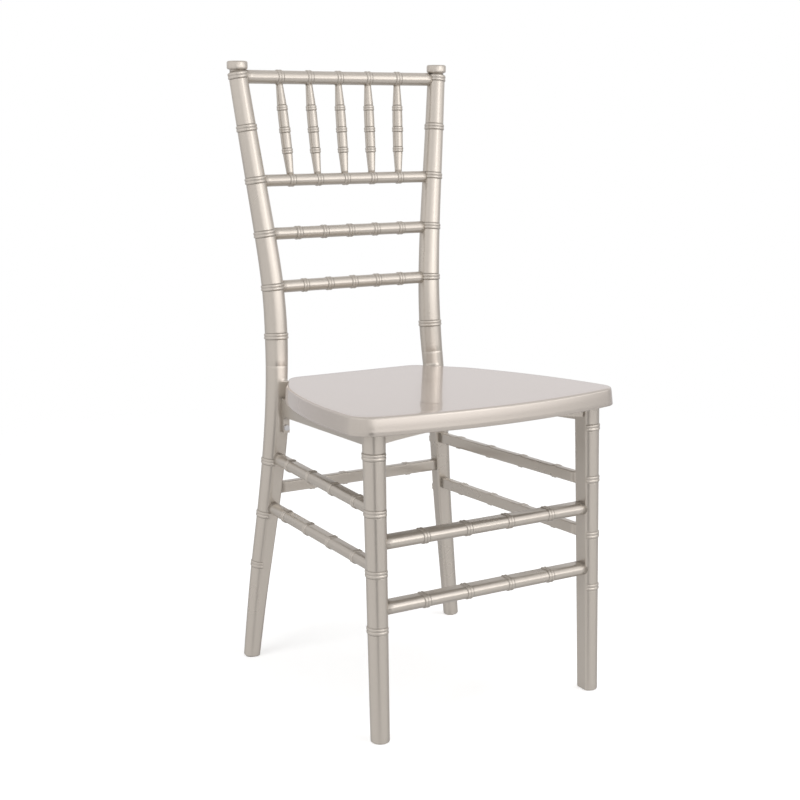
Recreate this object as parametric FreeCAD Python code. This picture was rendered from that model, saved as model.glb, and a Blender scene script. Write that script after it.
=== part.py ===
import FreeCAD, Part
import math
import os

from FreeCAD import Vector

# A chiavari side chair moulded in resin, as the pieces it is assembled from.
# Millimetres, +Z up, the chair's front faces -Y and +X is to the right of someone standing behind it.
# Everything is drawn with Y = 0 at the front feet, and moved at the end so that the origin is the
# middle of the chair's footprint on the floor.

UP = Vector(0, 0, 1)
MIRROR_PLANE = Vector(1, 0, 0)

# Main heights; the pieces under the seat keep their drop below it, and those of the back keep
# their drop below the top of the posts
seat_height = 445.6
post_top_height = 898.0

# Rear posts under the seat: share of the seat height, spacing of the two axes, distance behind the
# front feet
POST_LEG_STATIONS = (
    (0.0, 376.0, 382.7),
    (0.337, 343.6, 378.8),
    (0.516, 324.2, 374.0),
    (0.696, 307.8, 368.8),
    (0.898, 290.5, 368.6),
)

# Rear posts above the seat: share of the height from the seat to the top, spacing, distance
POST_BACK_STATIONS = (
    (0.12, 278.2, 375.6),
    (0.297, 281.0, 382.3),
    (0.474, 295.5, 391.2),
    (0.739, 324.0, 404.2),
    (0.989, 349.8, 416.6),
)
post_foot_radius = 12.3
post_waist_radius = 17.4
post_waist_above_seat = 54.4
post_top_radius = 13.9
post_block_drop = 7.6
post_block_corner = 3.0
post_foot_corner = 10.3
post_corner_fade_height = 160.0
post_section_pitch = 46.0
post_seam_step = 0.3
post_seam_overlap = 8.0
post_ring_drops = (5.0, 81.7, 158.7, 238.5, 318.7)
post_low_ring_above_seat = 59.5
post_leg_ring_drops = (132.1, 215.9, 296.3)

# Front legs: straight and tapered, with a flat inner face and a flat rear face
leg_foot_spacing = 359.0
leg_lean_spacing = 0.9
leg_lean_back = 15.8
leg_lean_drop = 15.6
leg_foot_radius = 13.3
leg_top_radius = 15.8
leg_inner_flat_share = 0.82
leg_corner_radius = 2.0
leg_ring_drops = (50.1, 126.1, 208.8, 287.1)

# Turned double rings, which look like the joints of a bamboo cane
ring_proud = 1.3
ring_valley = 0.35
ring_width = 9.5
ring_root = 0.6
ring_flat_inset = 0.2

# Post caps
cap_neck_radius = 11.5
cap_neck_height = 3.5
cap_radius = 15.5
cap_height = 12.6
cap_edge_radius = 3.0
cap_plug_radius = 4.0
cap_plug_length = 22.0

# Back rails: drop, radius, how far the middle bows back, spacing of the double rings
BACK_RAILS = {
    "top_rail": (6.5, 10.1, 10.0, 52.3),
    "spindle_rail": (159.6, 9.0, 6.0, 48.0),
    "middle_back_rail": (239.0, 9.25, 2.0, 45.7),
    "lower_back_rail": (318.8, 9.35, 2.0, 43.0),
}
rail_ring_places = (-2, -1, 0, 1, 2)
rail_tenon_radius = 5.0
rail_tenon_stop = 5.0

# Back spindles
spindle_end_radius = 5.4
spindle_shoulder_radius = 7.6
spindle_middle_radius = 8.0
spindle_ring_drops = (116.0, 84.5, 51.0)
spindle_ring_proud = 0.9
spindle_ring_width = 8.0
spindle_tenon_radius = 3.0
spindle_tenon_length = 4.5

# Stretchers, flat on the inside and half round on the outside
front_stretcher_drops = {"upper": 170.0, "lower": 260.0}
front_stretcher_tall = 17.4
front_stretcher_deep = 22.0
front_stretcher_ahead_of_axis = 11.0
front_stretcher_ring_pitch = 70.0
side_stretcher_drops = {"upper": 127.6, "lower": 205.6}
side_stretcher_tall = 16.5
side_stretcher_deep = 16.5
side_stretcher_outboard = 5.0
side_stretcher_ring_pitch = 77.0
rear_stretcher_drop = 174.7
rear_stretcher_tall = 17.1
rear_stretcher_deep = 18.5
rear_stretcher_ahead_of_axis = 11.9
rear_stretcher_ring_pitch = 58.5
stretcher_ring_places = (-1.5, -0.5, 0.5, 1.5)
stretcher_seat_depth = 3.0
stretcher_tenon_width = 8.0
stretcher_tenon_tall = 11.0
stretcher_tenon_length = 12.0

# Seat tray: one moulded shell, a little higher at the front, with its height given in the middle
seat_level_place = 180.0
seat_slope = 0.04
seat_wall = 3.0
seat_skirt = 25.5
seat_flare = 2.0
seat_edge_radius = 3.5
seat_front_middle = -39.0
seat_front_corner = (215.5, -5.0)
seat_side_middle = (197.5, 172.0)
seat_side_end = (163.0, 300.0)
seat_rear_corner = (113.5, 385.0)
seat_front_corner_radius = 35.0
seat_side_bend_radius = 60.0
seat_rear_corner_radius = 28.0
seat_rib_thickness = 2.5
seat_rib_depth = 12.0
seat_rib_rows = (95.0, 170.0, 245.0)
seat_rib_columns = (-70.0, 0.0, 70.0)

# Aprons under the seat
front_apron_thickness = 12.0
front_apron_drop = 34.2
front_apron_arch_rise = 11.5
side_apron_thickness = 10.0
side_apron_front_drop = 41.6
side_apron_rear_drop = 60.1
side_apron_front_place = 172.5
side_apron_rear_place = 139.0
side_apron_tab_drop = 85.6
side_apron_tab_width = 7.0
side_apron_arch_radius = 8.0
side_apron_step_place = 310.0
rear_apron_thickness = 12.0
rear_apron_drop = 57.6
rear_apron_full_half_width = 104.0
apron_tongue_length = 9.0
apron_tongue_thickness = 5.0
apron_tongue_tall = 18.0

# Seat screws, driven up through ears on the aprons into bosses under the seat
ear_length = 20.0
ear_width = 18.0
ear_thickness = 5.0
boss_radius = 6.5
boss_length = 16.0
screw_shank_radius = 2.0
screw_head_radius = 4.0
screw_head_height = 2.6
screw_bite = 12.0
front_ear_places = (-95.0, 95.0)
side_ear_places = (115.0, 220.0)
rear_ear_places = (-62.0, 62.0)

# Joint screws, driven through the side apron's tab into a brass insert in the post
joint_screw_above_tab_edge = 8.0
joint_screw_radius = 2.5
joint_screw_head_radius = 4.3
joint_screw_head_height = 2.4
insert_radius = 3.6
insert_length = 11.0

# Foot glides
glide_radius = 9.5
glide_thickness = 2.6
glide_proud = 0.6
glide_pin_radius = 3.0
glide_pin_length = 12.0

# Clearance on every side of a piece that is pushed into another
fit = 0.1


# Heights that follow the seat and the top of the posts

def below_seat(drops):
    """Heights at some drops below the seat."""
    return [seat_height - drop for drop in drops]


post_waist_height = seat_height + post_waist_above_seat
post_block_height = seat_height - post_block_drop
post_ring_heights = [post_top_height - drop for drop in post_ring_drops]
post_ring_heights.append(seat_height + post_low_ring_above_seat)
post_leg_ring_heights = below_seat(post_leg_ring_drops)
leg_lean_height = seat_height - leg_lean_drop
leg_ring_heights = below_seat(leg_ring_drops)
rear_stretcher_height = seat_height - rear_stretcher_drop
front_apron_bottom = seat_height - front_apron_drop
side_apron_front_bottom = seat_height - side_apron_front_drop
side_apron_rear_bottom = seat_height - side_apron_rear_drop
side_apron_tab_bottom = seat_height - side_apron_tab_drop
rear_apron_bottom = seat_height - rear_apron_drop
joint_screw_height = side_apron_tab_bottom + joint_screw_above_tab_edge


# Axes of the posts and the legs

def post_stations():
    """Every station of the right post's axis as (height, place)."""
    stations = []
    for share, spacing, back in POST_LEG_STATIONS:
        height = share * seat_height
        stations.append((height, Vector(spacing / 2, back, height)))
    for share, spacing, back in POST_BACK_STATIONS:
        height = seat_height + share * (post_top_height - seat_height)
        stations.append((height, Vector(spacing / 2, back, height)))
    return stations


POST_AXIS = Part.BSplineCurve()
POST_AXIS.interpolate(
    Points=[place for height, place in post_stations()],
    Parameters=[height for height, place in post_stations()],
)


def post_axis(height):
    """The point of the right post's axis at a height."""
    return POST_AXIS.value(height)


def post_direction(height):
    """The upward direction of the right post's axis at a height."""
    return POST_AXIS.tangent(height)[0]


def post_radius(height):
    """The post tapers from its waist beside the seat to the foot and to the top."""
    if height < post_waist_height:
        share = height / post_waist_height
        return post_foot_radius + (post_waist_radius - post_foot_radius) * share
    share = (height - post_waist_height) / (post_top_height - post_waist_height)
    return post_waist_radius + (post_top_radius - post_waist_radius) * share


def leg_axis(height):
    """The point of the right front leg's axis at a height."""
    share = height / leg_lean_height
    return Vector((leg_foot_spacing - leg_lean_spacing * share) / 2, leg_lean_back * share, height)


leg_direction = (leg_axis(leg_lean_height) - leg_axis(0)).normalize()


def leg_radius(height):
    """The front leg tapers towards its foot."""
    return leg_foot_radius + (leg_top_radius - leg_foot_radius) * height / leg_lean_height


# General shapes

def fused(shapes):
    """One solid from overlapping shapes."""
    result = shapes[0]
    for shape in shapes[1:]:
        result = result.fuse(shape)
    return result


def cut_all(body, tools):
    """The body with every tool cut away."""
    for tool in tools:
        body = body.cut(tool)
    return body


def oriented(shape, place, direction):
    """Move a shape drawn along +Z at the origin to a place, along a direction."""
    shape.Placement = FreeCAD.Placement(place, FreeCAD.Rotation(UP, direction))
    return shape


def mirrored(shape):
    """The left-hand copy of a right-hand shape."""
    return shape.mirror(Vector(0, 0, 0), MIRROR_PLANE)


def rod(radius, length, place, direction):
    """A plain round rod."""
    return Part.makeCylinder(radius, length, place, direction)


def block(low, high):
    """An upright box between two corners."""
    size = high - low
    return Part.makeBox(size.x, size.y, size.z, low)


def turned(profile):
    """A solid turned round Z from a closed list of (radius, height) corners."""
    points = [Vector(radius, 0, height) for radius, height in profile]
    face = Part.Face(Part.makePolygon(points + points[:1]))
    return face.revolve(Vector(0, 0, 0), UP, 360)


def double_ring(radius, proud=ring_proud, width=ring_width):
    """A double bead turned round Z, with its middle at the origin."""
    half = width / 2
    root = Vector(radius - ring_root, 0, 0)
    low = root - UP * half
    high = root + UP * half
    valley = Vector(radius + ring_valley, 0, 0)
    lower_crest = Vector(radius + proud, 0, -half / 2)
    upper_crest = Vector(radius + proud, 0, half / 2)
    core_low = Vector(radius - 3 * ring_root, 0, -half)
    core_high = Vector(radius - 3 * ring_root, 0, half)
    edges = [
        Part.Arc(low, lower_crest, valley).toShape(),
        Part.Arc(valley, upper_crest, high).toShape(),
        Part.LineSegment(high, core_high).toShape(),
        Part.LineSegment(core_high, core_low).toShape(),
        Part.LineSegment(core_low, low).toShape(),
    ]
    return Part.Face(Part.Wire(edges)).revolve(Vector(0, 0, 0), UP, 360)


def squared_wire(centre, radius, inner, front, corner):
    """A round section with one square corner.

    The flats lie at the distance inner towards -X and at the radius towards front (+1 or -1 along Y).
    """
    diagonal = math.sqrt(0.5)
    tangent = centre + Vector(0, front * radius, 0)
    far = centre + Vector(radius * diagonal, -front * radius * diagonal, 0)
    meet_drop = math.sqrt(max(radius ** 2 - inner ** 2, 0))
    meet = centre + Vector(-inner, -front * meet_drop, 0)
    flat_end = centre + Vector(-inner, front * (radius - corner), 0)
    corner_centre = centre + Vector(corner - inner, front * (radius - corner), 0)
    corner_middle = corner_centre + Vector(-corner * diagonal, front * corner * diagonal, 0)
    corner_end = corner_centre + Vector(0, front * corner, 0)
    edges = [
        Part.Arc(tangent, far, meet).toShape(),
        Part.LineSegment(meet, flat_end).toShape(),
        Part.Arc(flat_end, corner_middle, corner_end).toShape(),
        Part.LineSegment(corner_end, tangent).toShape(),
    ]
    return Part.Wire(edges)


def heights_between(low, high, pitch):
    """Evenly spaced heights, both ends included, about a pitch apart."""
    count = max(int(round((high - low) / pitch)), 2)
    return [low + (high - low) * step / count for step in range(count + 1)]


def flat_clip(radius, inner, front):
    """The space inside a member's two flats, for a ring that stops at them."""
    reach = 3 * radius
    low = Vector(-(inner - ring_flat_inset), -reach, -reach)
    high = Vector(reach, radius - ring_flat_inset, reach)
    if front < 0:
        low.y, high.y = -high.y, -low.y
    return block(low, high)


def clipped_ring(radius, inner, front, place, direction):
    """A double ring round a member that has two flats."""
    ring = double_ring(radius).common(flat_clip(radius, inner, front))
    return oriented(ring, place, direction)


def half_round_wire(tall, deep, outboard, grow, along):
    """A section that is flat on the inside and half round on the outside.

    It lies in the YZ plane at X = along, the outside faces +Y and reaches to outboard.
    """
    half = tall / 2 + grow
    inner = outboard - deep - grow
    straight = outboard + grow - half
    edges = [
        Part.LineSegment(Vector(along, inner, -half), Vector(along, straight, -half)).toShape(),
        Part.Arc(Vector(along, straight, -half), Vector(along, straight + half, 0),
                 Vector(along, straight, half)).toShape(),
        Part.LineSegment(Vector(along, straight, half), Vector(along, inner, half)).toShape(),
        Part.LineSegment(Vector(along, inner, half), Vector(along, inner, -half)).toShape(),
    ]
    return Part.Wire(edges)


def half_round_bar(tall, deep, outboard, half_length, grow):
    """A half-round bar along X with its middle at X = 0."""
    wire = half_round_wire(tall, deep, outboard, grow, -half_length - grow)
    return Part.Face(wire).extrude(Vector(2 * (half_length + grow), 0, 0))


def half_round_ring(tall, deep, outboard, along):
    """A double bead over the top, outside and bottom of a half-round bar."""
    half = ring_width / 2
    steps = (
        (-half, -ring_root),
        (-half / 2, ring_proud),
        (0, ring_valley),
        (half / 2, ring_proud),
        (half, -ring_root),
    )
    wires = []
    for offset, grow in steps:
        inset = ring_flat_inset + grow
        wires.append(half_round_wire(tall, deep - inset, outboard, grow, along + offset))
    return Part.makeLoft(wires, True, False)


def placed_along(shape, middle, direction):
    """Turn a shape drawn along X to a level direction and move its middle."""
    angle = math.degrees(math.atan2(direction.y, direction.x))
    shape.Placement = FreeCAD.Placement(middle, FreeCAD.Rotation(UP, angle))
    return shape


# Seat plane

seat_tilt = -math.degrees(math.atan(seat_slope))


def on_seat(shape):
    """Move a shape drawn under a level seat top at Z = 0 to the sloping seat."""
    turn = FreeCAD.Rotation(Vector(1, 0, 0), seat_tilt)
    pivot = Vector(0, seat_level_place, 0)
    shape.Placement = FreeCAD.Placement(pivot + UP * seat_height, turn).multiply(
        FreeCAD.Placement(-pivot, FreeCAD.Rotation()))
    return shape


def seat_top(back):
    """Height of the seat's top at a distance behind the front feet."""
    return seat_height - seat_slope * (back - seat_level_place)


def seat_outline():
    """The seat's rounded outline at Z = 0."""
    corner_x, corner_y = seat_front_corner
    middle_x, middle_y = seat_side_middle
    end_x, end_y = seat_side_end
    rear_x, rear_y = seat_rear_corner
    front = Part.Arc(Vector(-corner_x, corner_y, 0), Vector(0, seat_front_middle, 0),
                     Vector(corner_x, corner_y, 0)).toShape()
    right = Part.Arc(Vector(corner_x, corner_y, 0), Vector(middle_x, middle_y, 0),
                     Vector(end_x, end_y, 0)).toShape()
    left = Part.Arc(Vector(-end_x, end_y, 0), Vector(-middle_x, middle_y, 0),
                    Vector(-corner_x, corner_y, 0)).toShape()
    right_slant = Part.LineSegment(Vector(end_x, end_y, 0), Vector(rear_x, rear_y, 0)).toShape()
    rear = Part.LineSegment(Vector(rear_x, rear_y, 0), Vector(-rear_x, rear_y, 0)).toShape()
    left_slant = Part.LineSegment(Vector(-rear_x, rear_y, 0), Vector(-end_x, end_y, 0)).toShape()
    slab = Part.Face(Part.Wire([front, right, right_slant, rear, left_slant, left])).extrude(UP)
    corners = (
        (seat_front_corner, seat_front_corner_radius),
        (seat_side_end, seat_side_bend_radius),
        (seat_rear_corner, seat_rear_corner_radius),
    )
    for (place_x, place_y), radius in corners:
        edges = [edge for edge in slab.Edges if upright_at(edge, place_x, place_y)]
        slab = slab.makeFillet(radius, edges)
    floor = [face for face in slab.Faces if face.BoundBox.ZMax < 0.001][0]
    return floor.OuterWire


def upright_at(edge, place_x, place_y):
    """Whether an edge stands upright at a place, on the left or on the right."""
    middle = edge.CenterOfMass
    upright = edge.BoundBox.ZLength > 0.5 and edge.BoundBox.XLength < 0.01
    return upright and abs(abs(middle.x) - place_x) < 0.01 and abs(middle.y - place_y) < 0.01


SEAT_OUTLINE = seat_outline()


def offset_edge(edge, offset):
    """One edge of the outline moved straight outwards."""
    first = edge.valueAt(edge.FirstParameter)
    last = edge.valueAt(edge.LastParameter)
    if not isinstance(edge.Curve, Part.Line):
        middle = edge.valueAt((edge.FirstParameter + edge.LastParameter) / 2)
        circle = Part.Arc(first, middle, last).toShape().Curve
        share = (circle.Radius + offset) / circle.Radius
        points = [circle.Center + (point - circle.Center) * share for point in (first, middle, last)]
        return Part.Arc(*points).toShape()
    normal = (last - first).cross(UP).normalize()
    if normal.dot((first + last) / 2 - Vector(0, seat_level_place, 0)) < 0:
        normal = normal * -1
    return Part.LineSegment(first + normal * offset, last + normal * offset).toShape()


def seat_wire(offset, level):
    """The outline moved outwards by an offset, at a level below the seat's top."""
    edges = [offset_edge(edge, offset) for edge in SEAT_OUTLINE.OrderedEdges]
    return Part.Wire(edges).translated(UP * level)


def seat_shell(inset, top, bottom):
    """The tapering block inside the seat's outline, drawn on a level seat."""
    top_offset = -inset - seat_flare * top / seat_skirt
    bottom_offset = -inset - seat_flare * bottom / seat_skirt
    return Part.makeLoft([seat_wire(top_offset, top), seat_wire(bottom_offset, bottom)], True, True)


def above_level(depth):
    """Everything above a plane at a depth under the seat's top, drawn on a level seat."""
    reach = leg_foot_spacing
    low = Vector(-reach, -reach, -depth)
    return block(low, Vector(reach, 2 * reach, reach))


# Pieces that stand: posts and front legs

def post_leg_wire(height):
    """The section of the right post below the seat."""
    radius = post_radius(height)
    fade = min(height / post_corner_fade_height, 1.0)
    corner = post_foot_corner + (post_block_corner - post_foot_corner) * fade
    return squared_wire(post_axis(height), radius, radius, -1, corner)


def post_upper_wire(height):
    """The section of the right post above its square block."""
    centre = post_axis(height)
    return Part.Wire(Part.makeCircle(post_radius(height) - post_seam_step, centre, UP))


def rear_post():
    """The right rear post with its rings, before any socket is cut."""
    leg_heights = heights_between(glide_proud, post_block_height, post_section_pitch)
    upper_start = post_block_height - post_seam_overlap
    upper_heights = heights_between(upper_start, post_top_height, post_section_pitch)
    pieces = [
        Part.makeLoft([post_leg_wire(height) for height in leg_heights], True, False),
        Part.makeLoft([post_upper_wire(height) for height in upper_heights], True, False),
    ]
    for height in post_ring_heights:
        ring = double_ring(post_radius(height) - post_seam_step)
        pieces.append(oriented(ring, post_axis(height), post_direction(height)))
    for height in post_leg_ring_heights:
        radius = post_radius(height)
        pieces.append(clipped_ring(radius, radius, -1, post_axis(height), post_direction(height)))
    return fused(pieces)


def front_leg():
    """The right front leg with its rings, up to the underside of the seat."""
    top = seat_height
    wires = []
    for height in (glide_proud, top + seat_skirt):
        radius = leg_radius(height)
        inner = radius * leg_inner_flat_share
        wires.append(squared_wire(leg_axis(height), radius, inner, 1, leg_corner_radius))
    pieces = [Part.makeLoft(wires, True, True)]
    for height in leg_ring_heights:
        radius = leg_radius(height)
        inner = radius * leg_inner_flat_share
        pieces.append(clipped_ring(radius, inner, 1, leg_axis(height), leg_direction))
    return fused(pieces).cut(on_seat(above_level(seat_wall)))


# Back rails

class BowedRail:
    """A round rail bowed back between the posts, with a tenon at each end."""

    def __init__(self, drop, radius, bow, pitch):
        height = post_top_height - drop
        self.radius = radius
        self.pitch = pitch
        axis = post_axis(height)
        self.half_span = axis.x
        self.bend = (self.half_span ** 2 + bow ** 2) / (2 * bow)
        self.centre = Vector(0, axis.y + bow - self.bend, height)
        self.back = axis.y + bow + radius + ring_proud
        post = post_radius(height) - post_seam_step
        self.shoulder = math.sqrt(post ** 2 - radius ** 2) - 0.5
        self.tenon_length = self.shoulder - rail_tenon_stop

    def angle_at(self, across):
        """The angle along the bow at a distance across."""
        return math.asin(across / self.bend)

    def point(self, angle):
        """The point of the rail's axis at an angle from the middle."""
        return self.centre + Vector(math.sin(angle), math.cos(angle), 0) * self.bend

    def along(self, angle):
        """The direction of the rail's axis towards +X at an angle from the middle."""
        return Vector(math.cos(angle), -math.sin(angle), 0)

    def end_angle(self):
        """The angle at which the rail's shoulder lies."""
        return self.angle_at(self.half_span) - self.shoulder / self.bend

    def solid(self):
        """The rail with its rings and tenons."""
        end = self.end_angle()
        circle = Part.makeCircle(self.radius, self.point(end), self.along(end))
        pieces = [Part.Face(Part.Wire(circle)).revolve(self.centre, UP, math.degrees(2 * end))]
        for place in rail_ring_places:
            angle = self.angle_at(place * self.pitch)
            pieces.append(oriented(double_ring(self.radius), self.point(angle), self.along(angle)))
        start = self.point(end) - self.along(end) * rail_tenon_radius
        tenon = rod(rail_tenon_radius, self.tenon_length + rail_tenon_radius, start, self.along(end))
        return fused(pieces + [tenon, mirrored(tenon)])

    def socket(self):
        """What is cut from the right post for the rail's end and its tenon."""
        end = self.end_angle()
        seat = rod(self.radius + fit, 2 * self.radius + post_waist_radius, self.point(end),
                   self.along(end) * -1)
        hole = rod(rail_tenon_radius + fit, self.tenon_length + fit, self.point(end), self.along(end))
        return [seat, hole]


RAILS = {name: BowedRail(*sizes) for name, sizes in BACK_RAILS.items()}


# Spindles between the two upper rails

class Spindle:
    """A turned spindle that runs from ring to ring of the two upper rails."""

    def __init__(self, place):
        top_rail = RAILS["top_rail"]
        low_rail = RAILS["spindle_rail"]
        self.top = top_rail.point(top_rail.angle_at(place * top_rail.pitch))
        self.low = low_rail.point(low_rail.angle_at(place * low_rail.pitch))
        self.direction = (self.top - self.low).normalize()
        length = (self.top - self.low).Length
        self.start = math.sqrt(low_rail.radius ** 2 - spindle_end_radius ** 2) - 0.3
        self.end = length - math.sqrt(top_rail.radius ** 2 - spindle_end_radius ** 2) + 0.3

    def solid(self):
        """The spindle with its rings and tenons."""
        heights = [post_top_height - drop - self.low.z for drop in spindle_ring_drops]
        profile = [
            (0, self.start - spindle_tenon_length),
            (spindle_tenon_radius, self.start - spindle_tenon_length),
            (spindle_tenon_radius, self.start),
            (spindle_end_radius, self.start),
            (spindle_shoulder_radius, heights[0]),
            (spindle_middle_radius, heights[1]),
            (spindle_shoulder_radius, heights[2]),
            (spindle_end_radius, self.end),
            (spindle_tenon_radius, self.end),
            (spindle_tenon_radius, self.end + spindle_tenon_length),
            (0, self.end + spindle_tenon_length),
        ]
        pieces = [turned(profile)]
        radii = (spindle_shoulder_radius, spindle_middle_radius, spindle_shoulder_radius)
        for height, radius in zip(heights, radii):
            ring = double_ring(radius, spindle_ring_proud, spindle_ring_width)
            pieces.append(ring.translated(UP * height))
        return oriented(fused(pieces), self.low, self.direction)

    def sockets(self, at_top):
        """What is cut from a rail for the spindle's end and its tenon."""
        place = self.low + self.direction * (self.end if at_top else self.start)
        outward = self.direction * (1 if at_top else -1)
        reach = 2 * spindle_middle_radius
        seat = rod(spindle_end_radius + fit, reach, place, outward * -1)
        hole = rod(spindle_tenon_radius + fit, spindle_tenon_length + fit, place, outward)
        return [seat, hole]


SPINDLES = [Spindle(place) for place in rail_ring_places]


# Stretchers

class Stretcher:
    """A half-round bar seated a little way into two members, with a tenon at each end."""

    def __init__(self, start, end, tall, deep, outboard, pitch):
        self.middle = (start + end) / 2
        self.direction = (end - start).normalize()
        self.half_length = (end - start).Length / 2
        self.tall = tall
        self.deep = deep
        self.outboard = outboard
        self.pitch = pitch

    def body(self, grow):
        """The plain bar, or with a clearance the space that it needs."""
        return half_round_bar(self.tall, self.deep, self.outboard, self.half_length, grow)

    def tenon(self, grow):
        """The bar through both ends that makes the tenons."""
        length = self.half_length + stretcher_tenon_length + grow
        width = stretcher_tenon_width / 2 + grow
        tall = stretcher_tenon_tall / 2 + grow
        middle = self.outboard - self.deep + stretcher_tenon_width / 2 + stretcher_seat_depth
        return block(Vector(-length, middle - width, -tall), Vector(length, middle + width, tall))

    def solid(self):
        """The stretcher with its rings and tenons."""
        pieces = [self.body(0.0), self.tenon(0.0)]
        for place in stretcher_ring_places:
            pieces.append(half_round_ring(self.tall, self.deep, self.outboard, place * self.pitch))
        return placed_along(fused(pieces), self.middle, self.direction)

    def socket(self):
        """What is cut from the members for the stretcher's ends."""
        return [
            placed_along(self.body(fit), self.middle, self.direction),
            placed_along(self.tenon(fit), self.middle, self.direction),
        ]


def front_stretcher(level):
    """A front stretcher, seated in the inner faces of the legs."""
    height = seat_height - front_stretcher_drops[level]
    axis = leg_axis(height)
    inner_flat = axis.x - leg_radius(height) * leg_inner_flat_share
    end = Vector(inner_flat + stretcher_seat_depth, axis.y, height)
    start = Vector(-end.x, end.y, height)
    return Stretcher(end, start, front_stretcher_tall, front_stretcher_deep,
                     front_stretcher_ahead_of_axis, front_stretcher_ring_pitch)


def side_stretcher(level):
    """A right side stretcher, on the line between the axes of leg and post."""
    height = seat_height - side_stretcher_drops[level]
    front = leg_axis(height)
    rear = post_axis(height)
    along = (rear - front).normalize()
    start = front + along * (leg_radius(height) - stretcher_seat_depth)
    end = rear - along * (post_radius(height) - stretcher_seat_depth)
    return Stretcher(end, start, side_stretcher_tall, side_stretcher_deep,
                     side_stretcher_outboard, side_stretcher_ring_pitch)


def rear_stretcher():
    """The rear stretcher, whose flat face looks forward."""
    axis = post_axis(rear_stretcher_height)
    end_x = axis.x - post_radius(rear_stretcher_height) + stretcher_seat_depth
    start = Vector(-end_x, axis.y, axis.z)
    end = Vector(end_x, axis.y, axis.z)
    return Stretcher(start, end, rear_stretcher_tall, rear_stretcher_deep,
                     rear_stretcher_deep - rear_stretcher_ahead_of_axis,
                     rear_stretcher_ring_pitch)


FRONT_STRETCHERS = {level: front_stretcher(level) for level in front_stretcher_drops}
SIDE_STRETCHERS = {level: side_stretcher(level) for level in side_stretcher_drops}
REAR_STRETCHER = rear_stretcher()


# Aprons

def leg_inner_face(height):
    """How far out the front leg's inner flat lies at a height."""
    return leg_axis(height).x - leg_radius(height) * leg_inner_flat_share


def post_inner_face(height):
    """How far out the post's inner flat lies at a height."""
    return post_axis(height).x - post_radius(height)


def post_front_face(height):
    """How far back the post's front flat lies at a height."""
    return post_axis(height).y - post_radius(height)


def skirt_bottom(back):
    """Height of the lower edge of the seat's skirt at a distance behind the front feet."""
    return seat_top(back) - seat_skirt


def upright_plate(outline, start, along, thickness):
    """A plate from an outline of (distance along, height) corners, with its middle on a line."""
    across = Vector(-along.y, along.x, 0)
    corners = [start + along * distance + UP * height for distance, height in outline]
    corners = [corner - across * (thickness / 2) for corner in corners]
    face = Part.Face(Part.makePolygon(corners + corners[:1]))
    return face.extrude(across * thickness)


def apron_tongue(place, outward, height, grow):
    """The tongue at the end of an apron, or with a clearance its pocket."""
    across = Vector(-outward.y, outward.x, 0)
    half = apron_tongue_thickness / 2 + grow
    tall = apron_tongue_tall / 2 + grow
    root = place - outward * apron_tongue_thickness - across * half + UP * (height - tall)
    corners = [root, root + across * 2 * half, root + across * 2 * half + UP * 2 * tall,
               root + UP * 2 * tall]
    face = Part.Face(Part.makePolygon(corners + corners[:1]))
    return face.extrude(outward * (apron_tongue_thickness + apron_tongue_length + grow))


front_apron_place = leg_axis(front_apron_bottom).y
front_tongue_height = front_apron_bottom + apron_tongue_tall / 2 + seat_wall
rear_apron_place = post_axis(rear_apron_bottom).y
rear_tongue_height = rear_apron_bottom + apron_tongue_tall / 2 + seat_wall

side_apron_start = Vector(side_apron_front_place, leg_axis(side_apron_front_bottom).y
                          + leg_radius(side_apron_front_bottom) + 2 * fit, 0)
side_apron_end = Vector(side_apron_rear_place, min(post_front_face(side_apron_tab_bottom),
                        post_front_face(post_block_height)) - fit, 0)
side_apron_line = (side_apron_end - side_apron_start).normalize()
side_apron_length = (side_apron_end - side_apron_start).Length
side_front_tongue_height = side_apron_front_bottom + apron_tongue_tall / 2 + seat_wall
side_rear_tongue_height = side_apron_rear_bottom + apron_tongue_tall / 2 + seat_wall


def ear(place_x, place_y, level):
    """A screw ear, drawn on a level seat with its top under a seat boss."""
    half_length = ear_length / 2
    half_width = ear_width / 2
    return block(Vector(place_x - half_length, place_y - half_width, level - ear_thickness),
                 Vector(place_x + half_length, place_y + half_width, level))


ear_level = -seat_wall - boss_length


def screw_places():
    """Every seat screw's place across and back, with the apron that holds its ear."""
    places = []
    for across in front_ear_places:
        back = front_apron_place + front_apron_thickness / 2 + boss_radius + fit
        places.append(("front", across, back))
    for back in side_ear_places:
        share = (back - side_apron_start.y) / (side_apron_end.y - side_apron_start.y)
        middle = side_apron_start.x + (side_apron_end.x - side_apron_start.x) * share
        across = middle - side_apron_thickness / 2 - boss_radius - 1
        places.append(("right", across, back))
        places.append(("left", -across, back))
    for across in rear_ear_places:
        back = rear_apron_place - rear_apron_thickness / 2 - boss_radius - fit
        places.append(("rear", across, back))
    return places


SCREW_PLACES = screw_places()


def with_ears(apron, side):
    """An apron with its screw ears, drilled for the screws."""
    for name, across, back in SCREW_PLACES:
        if name == side:
            apron = apron.fuse(on_seat(ear(across, back, ear_level)))
    for name, across, back in SCREW_PLACES:
        if name == side:
            boss = rod(boss_radius + fit, boss_length, Vector(across, back, ear_level), UP)
            hole = rod(screw_shank_radius + fit, 2 * ear_thickness,
                       Vector(across, back, ear_level + fit), UP * -1)
            apron = apron.cut(on_seat(boss)).cut(on_seat(hole))
    return apron


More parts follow.
